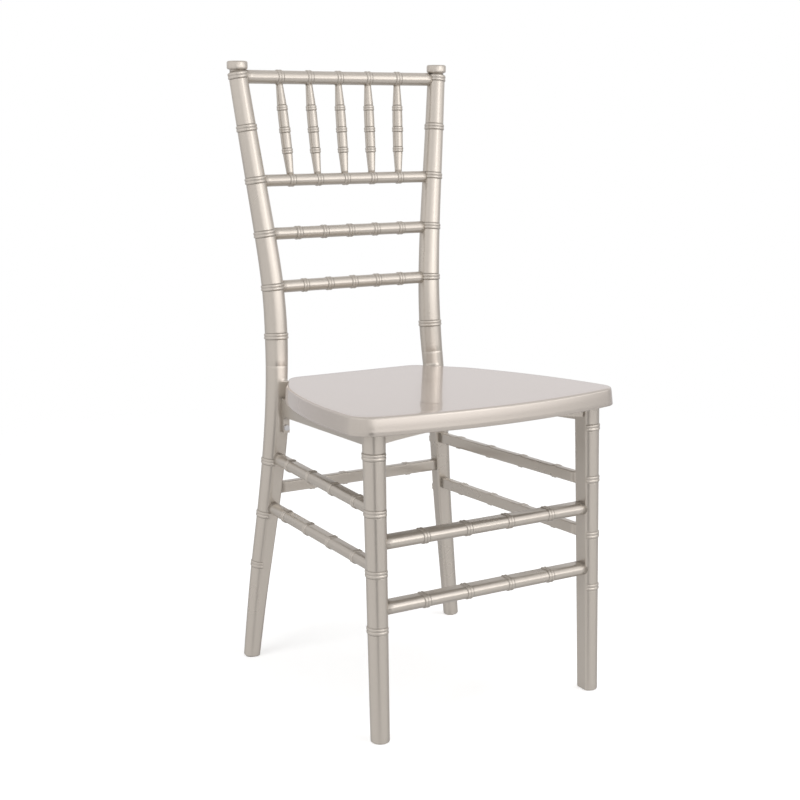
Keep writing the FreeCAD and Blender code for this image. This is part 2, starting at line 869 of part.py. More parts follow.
def front_apron():
    """The apron between the front legs, arched along its lower edge."""
    top = seat_height + seat_skirt
    half_span = leg_inner_face(front_apron_bottom)
    arch_radius = (half_span ** 2 + front_apron_arch_rise ** 2) / (2 * front_apron_arch_rise)
    arch_centre = Vector(0, front_apron_place - front_apron_thickness,
                         front_apron_bottom + front_apron_arch_rise - arch_radius)
    start = Vector(0, front_apron_place, 0)
    outline = [
        (-leg_inner_face(front_apron_bottom) + fit, front_apron_bottom),
        (leg_inner_face(front_apron_bottom) - fit, front_apron_bottom),
        (leg_inner_face(top) - fit, top),
        (-leg_inner_face(top) + fit, top),
    ]
    plate = upright_plate(outline, start, Vector(1, 0, 0), front_apron_thickness)
    plate = plate.cut(rod(arch_radius, 2 * front_apron_thickness, arch_centre, Vector(0, 1, 0)))
    tongue = front_apron_tongue(0.0)
    apron = fused([plate, tongue, mirrored(tongue)])
    return with_ears(apron.cut(on_seat(above_level(seat_wall))), "front")


def front_apron_tongue(grow):
    """The front apron's right tongue."""
    place = Vector(leg_inner_face(front_tongue_height), front_apron_place, 0)
    return apron_tongue(place, Vector(1, 0, 0), front_tongue_height, grow)


def rear_apron():
    """The apron between the posts, full height only inside the seat's skirt."""
    low_top = skirt_bottom(rear_apron_place + rear_apron_thickness / 2) - 2 * fit
    top = seat_height
    start = Vector(0, rear_apron_place, 0)
    full = rear_apron_full_half_width
    outline = [
        (-post_inner_face(rear_apron_bottom) + fit, rear_apron_bottom),
        (post_inner_face(rear_apron_bottom) - fit, rear_apron_bottom),
        (post_inner_face(low_top) - fit, low_top),
        (full, low_top),
        (full, top),
        (-full, top),
        (-full, low_top),
        (-post_inner_face(low_top) + fit, low_top),
    ]
    plate = upright_plate(outline, start, Vector(1, 0, 0), rear_apron_thickness)
    tongue = rear_apron_tongue(0.0)
    apron = fused([plate, tongue, mirrored(tongue)])
    return with_ears(apron.cut(on_seat(above_level(seat_wall))), "rear")


def rear_apron_tongue(grow):
    """The rear apron's right tongue."""
    place = Vector(post_inner_face(rear_tongue_height), rear_apron_place, 0)
    return apron_tongue(place, Vector(1, 0, 0), rear_tongue_height, grow)


def side_apron():
    """The right side apron, with a tab down the front of the post."""
    top = seat_height + seat_skirt
    share = (side_apron_step_place - side_apron_start.y) / (side_apron_end.y - side_apron_start.y)
    step = side_apron_length * share
    low_top = skirt_bottom(side_apron_end.y) - 2 * fit
    tab = side_apron_length - side_apron_tab_width
    arch_start = tab - side_apron_arch_radius
    arch = []
    for turn in range(0, 91, 15):
        angle = math.radians(turn)
        arch.append((arch_start + side_apron_arch_radius * math.sin(angle),
                     side_apron_rear_bottom - side_apron_arch_radius * (1 - math.cos(angle))))
    outline = [(0, side_apron_front_bottom)] + arch + [
        (tab, side_apron_tab_bottom),
        (side_apron_length, side_apron_tab_bottom),
        (side_apron_length, low_top),
        (step, low_top),
        (step, top),
        (0, top),
    ]
    plate = upright_plate(outline, side_apron_start, side_apron_line, side_apron_thickness)
    apron = fused([plate] + side_apron_tongues(0.0))
    return with_ears(apron.cut(on_seat(above_level(seat_wall))), "right")


def side_apron_tongues(grow):
    """The side apron's tongues, into the front leg and into the post."""
    return [
        apron_tongue(side_apron_start, side_apron_line * -1, side_front_tongue_height, grow),
        apron_tongue(side_apron_end, side_apron_line, side_rear_tongue_height, grow),
    ]


# Joint screws and inserts

joint_screw_start = side_apron_end - side_apron_line * side_apron_tab_width + UP * joint_screw_height
joint_screw_length = side_apron_tab_width + insert_length - 1
insert_start = side_apron_end + UP * joint_screw_height + side_apron_line * (3 * fit + 0.5)


def joint_screw():
    """The screw that holds the side apron's tab to the right post."""
    head = rod(joint_screw_head_radius, joint_screw_head_height, joint_screw_start,
               side_apron_line * -1)
    shank = rod(joint_screw_radius, joint_screw_length, joint_screw_start, side_apron_line)
    return head.fuse(shank)


def threaded_insert():
    """The brass insert in the right post that the joint screw bites into."""
    sleeve = rod(insert_radius, insert_length, insert_start, side_apron_line)
    return sleeve.cut(rod(joint_screw_radius + fit / 2, 2 * insert_length, insert_start
                          - side_apron_line * fit, side_apron_line))


def joint_screw_hole():
    """The hole through the side apron's tab."""
    return rod(joint_screw_radius + fit, 2 * side_apron_tab_width, joint_screw_start
               - side_apron_line * fit, side_apron_line)


def insert_hole():
    """The hole in the post for the insert, reached through a narrower one."""
    return [
        rod(insert_radius + fit / 2, insert_length + joint_screw_radius, insert_start, side_apron_line),
        rod(joint_screw_radius + fit, insert_length, insert_start - side_apron_line * insert_radius,
            side_apron_line),
    ]


# Seat tray and its screws

def seat_tray():
    """The seat: a shell with a skirt, ribs and screw bosses."""
    outer = seat_shell(0.0, 0.0, -seat_skirt)
    rim = [edge for edge in outer.Edges if edge.BoundBox.ZMin > -0.01]
    outer = outer.makeFillet(seat_edge_radius, rim)
    inner = seat_shell(seat_wall, -seat_wall, -seat_skirt - 1)
    tray = outer.cut(inner)
    rib_floor = -seat_wall - seat_rib_depth
    half = seat_rib_thickness / 2
    ribs = []
    for back in seat_rib_rows:
        ribs.append(block(Vector(-seat_rib_columns[-1] - half, back - half, rib_floor),
                          Vector(seat_rib_columns[-1] + half, back + half, -seat_wall / 2)))
    for across in seat_rib_columns:
        ribs.append(block(Vector(across - half, seat_rib_rows[0] - half, rib_floor),
                          Vector(across + half, seat_rib_rows[-1] + half, -seat_wall / 2)))
    bosses = []
    pilots = []
    for name, across, back in SCREW_PLACES:
        foot = Vector(across, back, ear_level)
        bosses.append(rod(boss_radius, boss_length + seat_wall / 2, foot, UP))
        pilots.append(rod(screw_shank_radius + fit / 2, screw_bite + 1, foot - UP * fit, UP))
    tray = fused([tray] + ribs + bosses)
    return on_seat(cut_all(tray, pilots))


def seat_screw(across, back):
    """One pan-head screw up through an ear into its boss."""
    under = Vector(across, back, ear_level - ear_thickness)
    head = rod(screw_head_radius, screw_head_height, under, UP * -1)
    shank = rod(screw_shank_radius, ear_thickness + screw_bite, under, UP)
    return on_seat(head.fuse(shank))


# Caps and glides

def post_cap():
    """The button on the right post's top, with its plug."""
    top = post_axis(post_top_height)
    shoulder = cap_neck_height
    crown = cap_neck_height + cap_height
    profile = [
        Part.LineSegment(Vector(0, 0, -cap_plug_length), Vector(cap_plug_radius, 0, -cap_plug_length)),
        Part.LineSegment(Vector(cap_plug_radius, 0, -cap_plug_length), Vector(cap_plug_radius, 0, 0)),
        Part.LineSegment(Vector(cap_plug_radius, 0, 0), Vector(cap_neck_radius, 0, 0)),
        Part.LineSegment(Vector(cap_neck_radius, 0, 0), Vector(cap_neck_radius, 0, shoulder)),
        Part.LineSegment(Vector(cap_neck_radius, 0, shoulder),
                         Vector(cap_radius - cap_edge_radius, 0, shoulder)),
        Part.Arc(Vector(cap_radius - cap_edge_radius, 0, shoulder),
                 Vector(cap_radius - cap_edge_radius + cap_edge_radius * math.sqrt(0.5), 0,
                        shoulder + cap_edge_radius * (1 - math.sqrt(0.5))),
                 Vector(cap_radius, 0, shoulder + cap_edge_radius)),
        Part.LineSegment(Vector(cap_radius, 0, shoulder + cap_edge_radius),
                         Vector(cap_radius, 0, crown - cap_edge_radius)),
        Part.Arc(Vector(cap_radius, 0, crown - cap_edge_radius),
                 Vector(cap_radius - cap_edge_radius + cap_edge_radius * math.sqrt(0.5), 0,
                        crown - cap_edge_radius * (1 - math.sqrt(0.5))),
                 Vector(cap_radius - cap_edge_radius, 0, crown)),
        Part.LineSegment(Vector(cap_radius - cap_edge_radius, 0, crown), Vector(0, 0, crown)),
        Part.LineSegment(Vector(0, 0, crown), Vector(0, 0, -cap_plug_length)),
    ]
    face = Part.Face(Part.Wire([segment.toShape() for segment in profile]))
    cap = face.revolve(Vector(0, 0, 0), UP, 360)
    return oriented(cap, top, UP)


def cap_hole():
    """The hole in the post's top for the cap's plug."""
    top = post_axis(post_top_height)
    return rod(cap_plug_radius + fit, cap_plug_length + 1, top + UP * fit, UP * -1)


def glide(axis):
    """A glide pressed into a foot, standing a little proud of it."""
    disc = rod(glide_radius, glide_thickness, Vector(axis.x, axis.y, 0), UP)
    pin = rod(glide_pin_radius, glide_thickness + glide_pin_length, Vector(axis.x, axis.y, 0), UP)
    return disc.fuse(pin)


def glide_pocket(axis):
    """The pocket in a foot for its glide."""
    place = Vector(axis.x, axis.y, 0)
    return [
        rod(glide_radius + fit, glide_thickness, place, UP),
        rod(glide_pin_radius + fit, glide_thickness + glide_pin_length + fit, place, UP),
    ]


# Assembly

def right_post_sockets():
    """Everything cut from the right post."""
    tools = [cap_hole()] + insert_hole() + glide_pocket(post_axis(0))
    for rail in RAILS.values():
        tools += rail.socket()
    for stretcher in SIDE_STRETCHERS.values():
        tools += stretcher.socket()
    tools += REAR_STRETCHER.socket()
    tools += [side_apron_tongues(fit)[1], rear_apron_tongue(fit)]
    return tools


def right_leg_sockets():
    """Everything cut from the right front leg."""
    tools = glide_pocket(leg_axis(0))
    for stretcher in list(FRONT_STRETCHERS.values()) + list(SIDE_STRETCHERS.values()):
        tools += stretcher.socket()
    tools += [side_apron_tongues(fit)[0], front_apron_tongue(fit)]
    return tools


def assemble():
    """Every node of the chair."""
    nodes = {}
    nodes["right_rear_post"] = cut_all(rear_post(), right_post_sockets())
    nodes["left_rear_post"] = mirrored(nodes["right_rear_post"])
    nodes["right_front_leg"] = cut_all(front_leg(), right_leg_sockets())
    nodes["left_front_leg"] = mirrored(nodes["right_front_leg"])

    for name, rail in RAILS.items():
        solid = rail.solid()
        for spindle in SPINDLES:
            if name == "top_rail":
                solid = cut_all(solid, spindle.sockets(True))
            if name == "spindle_rail":
                solid = cut_all(solid, spindle.sockets(False))
        nodes[name] = solid
    for number, spindle in enumerate(SPINDLES, 1):
        nodes["back_spindle_%d" % number] = spindle.solid()

    for level, stretcher in FRONT_STRETCHERS.items():
        nodes["%s_front_stretcher" % level] = stretcher.solid()
    for level, stretcher in SIDE_STRETCHERS.items():
        solid = stretcher.solid()
        nodes["right_%s_side_stretcher" % level] = solid
        nodes["left_%s_side_stretcher" % level] = mirrored(solid)
    nodes["rear_stretcher"] = REAR_STRETCHER.solid()

    nodes["seat_tray"] = seat_tray()
    nodes["front_apron"] = front_apron()
    nodes["rear_apron"] = rear_apron()
    nodes["right_apron"] = side_apron().cut(joint_screw_hole())
    nodes["left_apron"] = mirrored(nodes["right_apron"])

    nodes["right_post_cap"] = post_cap()
    nodes["left_post_cap"] = mirrored(nodes["right_post_cap"])
    nodes["right_rear_glide"] = glide(post_axis(0))
    nodes["left_rear_glide"] = mirrored(nodes["right_rear_glide"])
    nodes["right_front_glide"] = glide(leg_axis(0))
    nodes["left_front_glide"] = mirrored(nodes["right_front_glide"])

    screws = [seat_screw(across, back) for name, across, back in SCREW_PLACES]
    nodes["seat_screws"] = Part.makeCompound(screws)
    nodes["joint_screws"] = Part.makeCompound([joint_screw(), mirrored(joint_screw())])
    nodes["threaded_inserts"] = Part.makeCompound([threaded_insert(), mirrored(threaded_insert())])
    return nodes


def footprint_middle():
    """How far behind the front feet the middle between the seat's front and the rearmost point lies."""
    tilt = math.radians(-seat_tilt)
    front = seat_level_place + (seat_front_middle - seat_level_place) * math.cos(tilt)
    skirt_run = seat_flare * math.cos(tilt) + seat_skirt * math.sin(tilt)
    rear = max([post_axis(post_top_height).y + cap_radius] + [rail.back for rail in RAILS.values()])
    return (front - skirt_run + rear) / 2


def main():
    """Build every node and write its STEP file."""
    os.makedirs("parts", exist_ok=True)
    home = Vector(0, -footprint_middle(), 0)
    for name, shape in assemble().items():
        placed = shape.translated(home)
        box = placed.BoundBox
        print("%-28s solids %d valid %s volume %9.0f  x %7.1f %7.1f  y %7.1f %7.1f  z %7.1f %7.1f" % (
            name, len(placed.Solids), placed.isValid(), placed.Volume, box.XMin, box.XMax,
            box.YMin, box.YMax, box.ZMin, box.ZMax))
        placed.exportStep("parts/%s.step" % name)


main()
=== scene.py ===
"""The looks of a moulded resin chiavari chair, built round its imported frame.

The chair's sizes are in millimetres and are measured from the floor and from the axes of the front
feet, as in its drawing. Each mesh is turned into metres in the shared frame when it is made. The
studio is in metres in the shared frame.
"""

import logging
import math
from dataclasses import dataclass
from enum import Enum
from functools import cache
from typing import Sequence

import bmesh
import bpy
import numpy as np
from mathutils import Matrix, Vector

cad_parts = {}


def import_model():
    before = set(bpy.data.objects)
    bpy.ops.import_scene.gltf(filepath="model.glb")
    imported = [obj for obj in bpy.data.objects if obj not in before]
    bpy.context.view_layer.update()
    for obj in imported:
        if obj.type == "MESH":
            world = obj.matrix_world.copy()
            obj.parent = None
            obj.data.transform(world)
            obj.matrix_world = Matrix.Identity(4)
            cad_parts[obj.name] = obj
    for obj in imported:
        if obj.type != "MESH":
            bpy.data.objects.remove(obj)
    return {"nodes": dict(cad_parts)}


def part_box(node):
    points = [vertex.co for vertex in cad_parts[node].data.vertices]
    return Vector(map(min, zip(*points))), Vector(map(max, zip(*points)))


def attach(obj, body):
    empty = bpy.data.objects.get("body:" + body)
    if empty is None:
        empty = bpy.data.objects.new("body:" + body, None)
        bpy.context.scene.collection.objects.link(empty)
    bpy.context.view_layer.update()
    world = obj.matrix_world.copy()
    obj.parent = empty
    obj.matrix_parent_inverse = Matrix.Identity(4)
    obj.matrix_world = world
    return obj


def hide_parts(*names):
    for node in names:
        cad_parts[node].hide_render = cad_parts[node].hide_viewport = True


LOG = logging.getLogger("chair")
MM = 0.001
UP = Vector((0.0, 0.0, 1.0))
BODY = "root"
BEAD_FADE = (math.radians(2), math.radians(15))

Colour = tuple[float, float, float]
Loop = list[Vector]
Node = bpy.types.Node
Profile = Sequence[tuple[float, float]]
Sample = tuple[Vector, Vector]
Socket = bpy.types.NodeSocket
Tree = bpy.types.ShaderNodeTree


class Slot(Enum):
    """The material slots of the record."""

    FRAME = "frame_resin"
    SEAT = "seat_resin"
    NYLON = "nylon"
    STEEL = "steel"
    BRASS = "brass"


class Side(Enum):
    """The two halves of the chair, by the sign of X."""

    RIGHT = 1
    LEFT = -1


# Curves and sections


class Spline:
    """A natural cubic spline through (position, value) knots."""

    def __init__(self, places: Sequence[float], values: Sequence[float]) -> None:
        """Solve for the second derivatives at the knots.

        Args:
            places: Positions of the knots, rising.
            values: The value at each knot.
        """
        self.places = np.asarray(places, float)
        self.values = np.asarray(values, float)
        count = len(self.places)
        gaps = np.diff(self.places)
        slopes = np.diff(self.values) / gaps
        system = np.eye(count)
        right = np.zeros(count)
        for index in range(1, count - 1):
            system[index, index - 1] = gaps[index - 1]
            system[index, index] = 2 * (gaps[index - 1] + gaps[index])
            system[index, index + 1] = gaps[index]
            right[index] = 6 * (slopes[index] - slopes[index - 1])
        self.bends = np.linalg.solve(system, right)

    def __call__(self, place: float) -> float:
        """The value at a position, carried on straight past the ends.

        Args:
            place: The position.

        Returns:
            The spline's value there.
        """
        inside = min(max(place, self.places[0]), self.places[-1])
        index = min(int(np.searchsorted(self.places, inside, side="right")) - 1, len(self.places) - 2)
        low, high = self.places[index], self.places[index + 1]
        gap = high - low
        before, after = (high - inside) / gap, (inside - low) / gap
        value = (before * self.values[index] + after * self.values[index + 1]
                 + ((before ** 3 - before) * self.bends[index]
                    + (after ** 3 - after) * self.bends[index + 1]) * gap ** 2 / 6)
        if place == inside:
            return float(value)
        step = 1.0 if place < inside else -1.0
        slope = (self(inside + step) - value) / step
        return float(value + slope * (place - inside))


def mix(first: float, second: float, share: float) -> float:
    """The value a share of the way from the first to the second."""
    return first + (second - first) * share


def smooth(low: float, high: float, value: float) -> float:
    """A smooth step from 0 at low to 1 at high."""
    share = min(max((value - low) / (high - low), 0.0), 1.0)
    return share * share * (3 - 2 * share)


def full_turn(steps: int) -> list[float]:
    """The angles of a full turn in equal steps."""
    return [2 * math.pi * step / steps for step in range(steps)]


def arc(centre: tuple[float, float], radius: float, first: float, last: float,
        steps: int) -> list[tuple[float, float]]:
    """Points along an arc of a section.

    Args:
        centre: The arc's centre.
        radius: Its radius.
        first: The angle of its first point in degrees.
        last: The angle of its last point.
        steps: Steps from the first point to the last.

    Returns:
        The points with both ends.
    """
    angles = [math.radians(mix(first, last, step / steps)) for step in range(steps + 1)]
    return [(centre[0] + radius * math.cos(angle), centre[1] + radius * math.sin(angle)) for angle in angles]


def squared_reach(angle: float, inner: float, front: float, corner: float) -> float:
    """How far a section with one square corner reaches at an angle.

    Args:
        angle: 0 towards the inner flat, a quarter turn towards the front or rear flat.
        inner: Distance of the inner flat.
        front: Radius of the round part, and distance of the other flat.
        corner: Radius that rounds the corner between the flats.

    Returns:
        The distance from the axis.
    """
    cosine, sine = math.cos(angle), math.sin(angle)
    if cosine <= 0:
        return front
    if sine <= 0:
        return min(front, inner / cosine)
    reach = min(inner / cosine, front / sine)
    centre_x, centre_y = inner - corner, front - corner
    if reach * cosine > centre_x and reach * sine > centre_y:
        along = centre_x * cosine + centre_y * sine
        inside = along ** 2 - (centre_x ** 2 + centre_y ** 2 - corner ** 2)
        reach = along + math.sqrt(max(inside, 0.0))
    return reach


def flat_mask(angle: float, first: float, last: float) -> float:
    """How much of a bead shows at an angle of a section that has flats.

    Args:
        angle: The angle round the section.
        first: The angle at which the flats start.
        last: The angle at which they end.

    Returns:
        0 on the flats and 1 on the round part, rising softly between the two BEAD_FADE angles.
    """
    half = (last - first) / 2
    away = abs((angle - (first + last) / 2 + math.pi) % (2 * math.pi) - math.pi)
    return smooth(half + BEAD_FADE[0], half + BEAD_FADE[1], away)


def squared_angles() -> list[float]:
    """Angles for a section that has one square corner.

    Returns:
        Rising angles in radians, closest together at the square corner and at the inner flat's other end.
    """
    corner = (0, 9, 18, 26, 32, 36, 39, 41.5, 44, 46.5, 49, 51.5, 54, 57, 61, 66, 74, 82)
    flat_end = (312, 316, 320, 323, 326, 329, 333)
    plain = [90 + 270 * step / 38 for step in range(38)]
    kept = [angle for angle in plain if not 308 < angle < 337]
    return [math.radians(angle) for angle in sorted([*corner, *kept, *flat_end])]


SQUARED_ANGLES = squared_angles()


@dataclass(frozen=True)
class DoubleRing:
    """The double bead that imitates a bamboo joint.

    Its two crests stand proud of the member and its middle falls back to the valley. A fillet with a
    fine groove ends it on either side. The shares place the sections that draw one half of it.
    """

    proud: float = 1.3
    valley: float = 0.1
    width: float = 9.5
    fillet: float = 0.6
    groove: float = 0.55
    overlap: float = 0.15
    shoulder_end: float = 0.7
    shares: tuple[float, ...] = (1.35, 1.08, 1.0, 0.95, 0.9, 0.84, 0.76, 0.64, 0.5, 0.36, 0.24, 0.14, 0.07,
                                 0.0)

    def height(self, distance: float) -> float:
        """How far the bead stands out at a distance from its middle.

        Args:
            distance: Distance along the member from the middle of the double bead.

        Returns:
            Height over the member's own surface, below nought in the groove at the bead's foot.
        """
        half = self.width / 2
        away = abs(distance)
        if away >= half + self.fillet:
            return 0.0
        if away > half - self.fillet:
            share = (away - half + self.fillet) / (2 * self.fillet)
            shoulder = mix(self.crown(half - self.fillet), 0.0, smooth(0.0, self.shoulder_end, share))
            return shoulder - self.groove * math.sin(math.pi * share)
        return max(self.crown(away), self.valley) if away < half / 2 else self.crown(away)

    def crown(self, away: float) -> float:
        """Height of one bead, a part of an ellipse about its crest.

        Args:
            away: Distance from the middle of the double bead.

        Returns:
            The height.
        """
        crest = self.width / 4
        share = min(abs(away - crest) / (crest + self.overlap), 1.0)
        return self.proud * math.sqrt(1 - share * share)

    def total(self, place: float, rings: Sequence[float], lean: float = 1.0) -> float:
        """Height of all of a member's beads at a place.

        Args:
            place: The place along the member.
            rings: Middles of the double beads.
            lean: How far the place moves for a length along the member, 1 where it is that length.

        Returns:
            Height over the member's own surface.
        """
        return sum(self.height((place - ring) / lean) for ring in rings)

    def stations(self, middle: float) -> list[float]:
        """Places along a member that draw the bead well.

        Args:
            middle: The bead's middle along the member.

        Returns:
            Places from one foot of the bead to the other.
        """
        edge = self.width / 2 + self.fillet
        return ([middle - edge * share for share in self.shares]
                + [middle + edge * share for share in self.shares[-2::-1]])

    def places(self, low: float, high: float, pitch: float, rings: Sequence[float]) -> list[float]:
        """All the places at which a ringed member's section is drawn.

        Args:
            low: Start of the member.
            high: End of the member.
            pitch: Longest step between two plain sections.
            rings: Middles of the double beads.

        Returns:
            Rising places with both ends.
        """
        count = max(math.ceil((high - low) / pitch), 2)
        plain = [low + (high - low) * step / count for step in range(count + 1)]
        kept = [place for place in plain if place in (low, high)
                or all(abs(place - middle) >= self.width for middle in rings)]
        kept += [place for middle in rings for place in self.stations(middle) if low < place < high]
        return sorted({round(place, 4) for place in kept})


# Meshes


@cache
def drawing_zero() -> Vector:
    """Where the drawing's zero lies in the shared frame, in metres."""
    low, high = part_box("right_front_glide")
    return Vector((0.0, (low.y + high.y) / 2, 0.0))


def add_object(name: str, data: bpy.types.ID) -> bpy.types.Object:
    """Put a mesh, lamp or camera in the scene.

    Args:
        name: The object's name.
        data: What it shows.

    Returns:
        The new object.
    """
    obj = bpy.data.objects.new(name, data)
    bpy.context.scene.collection.objects.link(obj)
    return obj


class Loft:
    """A skin of one or more closed shapes, each through a run of loops of points."""

    def __init__(self, loops: Sequence[Loop] = ()) -> None:
        """Start with one run of loops or with none.

        Args:
            loops: The loops in order.
        """
        self.verts: list[Vector] = []
        self.faces: list[list[int]] = []
        if loops:
            self.add(loops)

    def add(self, loops: Sequence[Loop]) -> None:
        """Skin a run of loops and close each of its ends with a fan round the end's middle.

        Args:
            loops: The loops in order, all with the same number of points.
        """
        start, size = len(self.verts), len(loops[0])
        last = start + (len(loops) - 1) * size
        for loop in loops:
            self.verts.extend(loop)
        steps = [(index, (index + 1) % size) for index in range(size)]
        for first in range(start, last, size):
            self.faces += [[first + index, first + after, first + size + after, first + size + index]
                           for index, after in steps]
        for first in (start, last):
            centre = len(self.verts)
            self.verts.append(sum(self.verts[first:first + size], Vector()) / size)
            self.faces += [[first + index, first + after, centre] for index, after in steps]

    def mirror(self) -> "Loft":
        """The same skin with X turned round.

        Returns:
            The other skin.
        """
        other = Loft()
        other.verts = [Vector((-point.x, point.y, point.z)) for point in self.verts]
        other.faces = [list(reversed(face)) for face in self.faces]
        return other

    def build(self, name: str) -> bpy.types.Object:
        """Make a smooth-shaded object of the skin.

        Args:
            name: The object's name.

        Returns:
            The new object.
        """
        mesh = bpy.data.meshes.new(name)
        mesh.from_pydata([point * MM + drawing_zero() for point in self.verts], [], self.faces)
        mesh.validate()
        work = bmesh.new()
        work.from_mesh(mesh)
        bmesh.ops.recalc_face_normals(work, faces=work.faces)
        work.to_mesh(mesh)
        work.free()
        mesh.shade_smooth()
        return add_object(name, mesh)


def lathe(profile: Profile, place: Vector, direction: Vector, steps: int = 48) -> list[Loop]:
    """Loops of a turned shape.

    Args:
        profile: (radius, height) points, the ones on the axis left out.
        place: Where height 0 lies.
        direction: The axis.
        steps: Points round each loop.

    Returns:
        One loop for each profile point.
    """
    across = direction.cross(Vector((0.0, 1.0, 0.0))).normalized()
    other = direction.cross(across).normalized()
    return [[place + direction * height
             + across * (radius * math.cos(turn)) + other * (radius * math.sin(turn))
             for turn in full_turn(steps)] for radius, height in profile]


# Finishes


def feed(tree: Tree, socket: Socket, value: Socket | float) -> None:
    """Set the number of an input, or link an output to it.

    Args:
        tree: The nodes.
        socket: The input.
        value: The number or the output.
    """
    if isinstance(value, float):
        socket.default_value = value
    else:
        tree.links.new(value, socket)


def math_node(tree: Tree, operation: str, first: Socket | float, second: Socket | float) -> Socket:
    """Add one Math node.

    Args:
        tree: The nodes.
        operation: What it does.
        first: Its first number or the output that gives it.
        second: Its second number or the output that gives it.

    Returns:
        Its output.
    """
    node = tree.nodes.new("ShaderNodeMath")
    node.operation = operation
    feed(tree, node.inputs[0], first)
    feed(tree, node.inputs[1], second)
    return node.outputs[0]


def ramp(tree: Tree, value: Socket, low: float, high: float, first: Socket | float,
         last: float) -> Socket:
    """Add a smooth step of a value from one level to another.

    Args:
        tree: The nodes.
        value: The value.
        low: Where the step starts.
        high: Where it ends.
        first: The level up to low.
        last: The level from high on.

    Returns:
        The output with the level.
    """
    node = tree.nodes.new("ShaderNodeMapRange")
    node.interpolation_type = "SMOOTHSTEP"
    names = ("Value", "From Min", "From Max", "To Min", "To Max")
    for name, level in zip(names, (value, low, high, first, last)):
        feed(tree, node.inputs[name], level)
    return node.outputs["Result"]


def new_material(name: str, **levels: float | tuple[float, ...]) -> tuple[bpy.types.Material, Tree, Node]:
    """Make a material with nodes.

    Args:
        name: The material's name.
        levels: Values of the shader's inputs, with _ for each blank in their names.

    Returns:
        The material, its nodes and its shader.
    """
    material = bpy.data.materials.new(name)
    material.use_nodes = True
    shader = material.node_tree.nodes["Principled BSDF"]
    for socket, level in levels.items():
        shader.inputs[socket.replace("_", " ")].default_value = level
    return material, material.node_tree, shader


@dataclass(frozen=True)
class PearlGroup:
    """The node group of fine flakes, slow flow marks, a slight orange peel and painted shade that darkens
    the crevices.
    """

    # The last input sets how dark the painted shade in the crevices gets.
    inputs: tuple[tuple[str, float], ...] = (
        ("Roughness", 0.3), ("Flake Scale", 1800.0), ("Flake Depth", 0.06), ("Flow Scale", 9.0),
        ("Flow Depth", 0.05), ("Peel Scale", 260.0), ("Crevice", 0.5))
    flow_detail: float = 4.0
    peel_detail: float = 1.0
    # Painted crevice shade: how far the occlusion looks, its samples, and the occlusion levels between which
    # the painted shade fades out.
    crevice_reach: float = 0.003
    crevice_samples: int = 6
    crevice_low: float = 0.45
    crevice_high: float = 0.9

    @cache
    def tree(self) -> Tree:
        """Make the group, once.

        Returns:
            The group.
        """
        tree = bpy.data.node_groups.new("pearl flake and flow", "ShaderNodeTree")
        face = tree.interface
        face.new_socket("Colour", in_out="INPUT", socket_type="NodeSocketColor")
        for name, value in self.inputs:
            socket = face.new_socket(name, in_out="INPUT", socket_type="NodeSocketFloat")
            socket.default_value = value
        for name, kind in (("Colour", "Color"), ("Roughness", "Float"), ("Height", "Float")):
            face.new_socket(name, in_out="OUTPUT", socket_type=f"NodeSocket{kind}")
        given = tree.nodes.new("NodeGroupInput").outputs
        result = tree.nodes.new("NodeGroupOutput").inputs
        where = tree.nodes.new("ShaderNodeTexCoord").outputs["Object"]
        flake = self.texture(tree, "Voronoi", where, given["Flake Scale"], 0.0).outputs["Color"]
        flow = self.texture(tree, "Noise", where, given["Flow Scale"], self.flow_detail).outputs["Fac"]
        peel = self.texture(tree, "Noise", where, given["Peel Scale"], self.peel_detail).outputs["Fac"]
        flake = self.centred(tree, flake, given["Flake Depth"])
        flow = self.centred(tree, flow, given["Flow Depth"])
        # Painted shade: ambient occlusion darkens the colour in the ring grooves, joints and other crevices,
        # where shade falls.
        near = tree.nodes.new("ShaderNodeAmbientOcclusion")
        near.only_local = True
        near.samples = self.crevice_samples
        near.inputs["Distance"].default_value = self.crevice_reach
        painted_crevice_shade = ramp(tree, near.outputs["AO"], self.crevice_low, self.crevice_high, given["Crevice"], 1.0)
        grain = math_node(tree, "ADD", math_node(tree, "ADD", flake, flow), 1.0)
        shade = tree.nodes.new("ShaderNodeVectorMath")
        shade.operation = "SCALE"
        tree.links.new(given["Colour"], shade.inputs[0])
        tree.links.new(math_node(tree, "MULTIPLY", grain, painted_crevice_shade), shade.inputs["Scale"])
        tree.links.new(shade.outputs["Vector"], result["Colour"])
        tree.links.new(math_node(tree, "ADD", given["Roughness"], flow), result["Roughness"])
        tree.links.new(peel, result["Height"])
        return tree

    @staticmethod
    def texture(tree: Tree, kind: str, where: Socket, scale: Socket, detail: float) -> Node:
        """Add a texture in the object's own space.

        Args:
            tree: The group.
            kind: The texture's kind.
            where: The object's coordinates.
            scale: The output that gives the texture's scale.
            detail: Its detail.

        Returns:
            The texture's node.
        """
        node = tree.nodes.new(f"ShaderNodeTex{kind}")
        node.inputs["Detail"].default_value = detail
        tree.links.new(where, node.inputs["Vector"])
        tree.links.new(scale, node.inputs["Scale"])
        return node

    @staticmethod
    def centred(tree: Tree, value: Socket, depth: Socket) -> Socket:
        """A 0 to 1 value centred on nought and scaled by a depth."""
        return math_node(tree, "MULTIPLY", math_node(tree, "SUBTRACT", value, 0.5), depth)


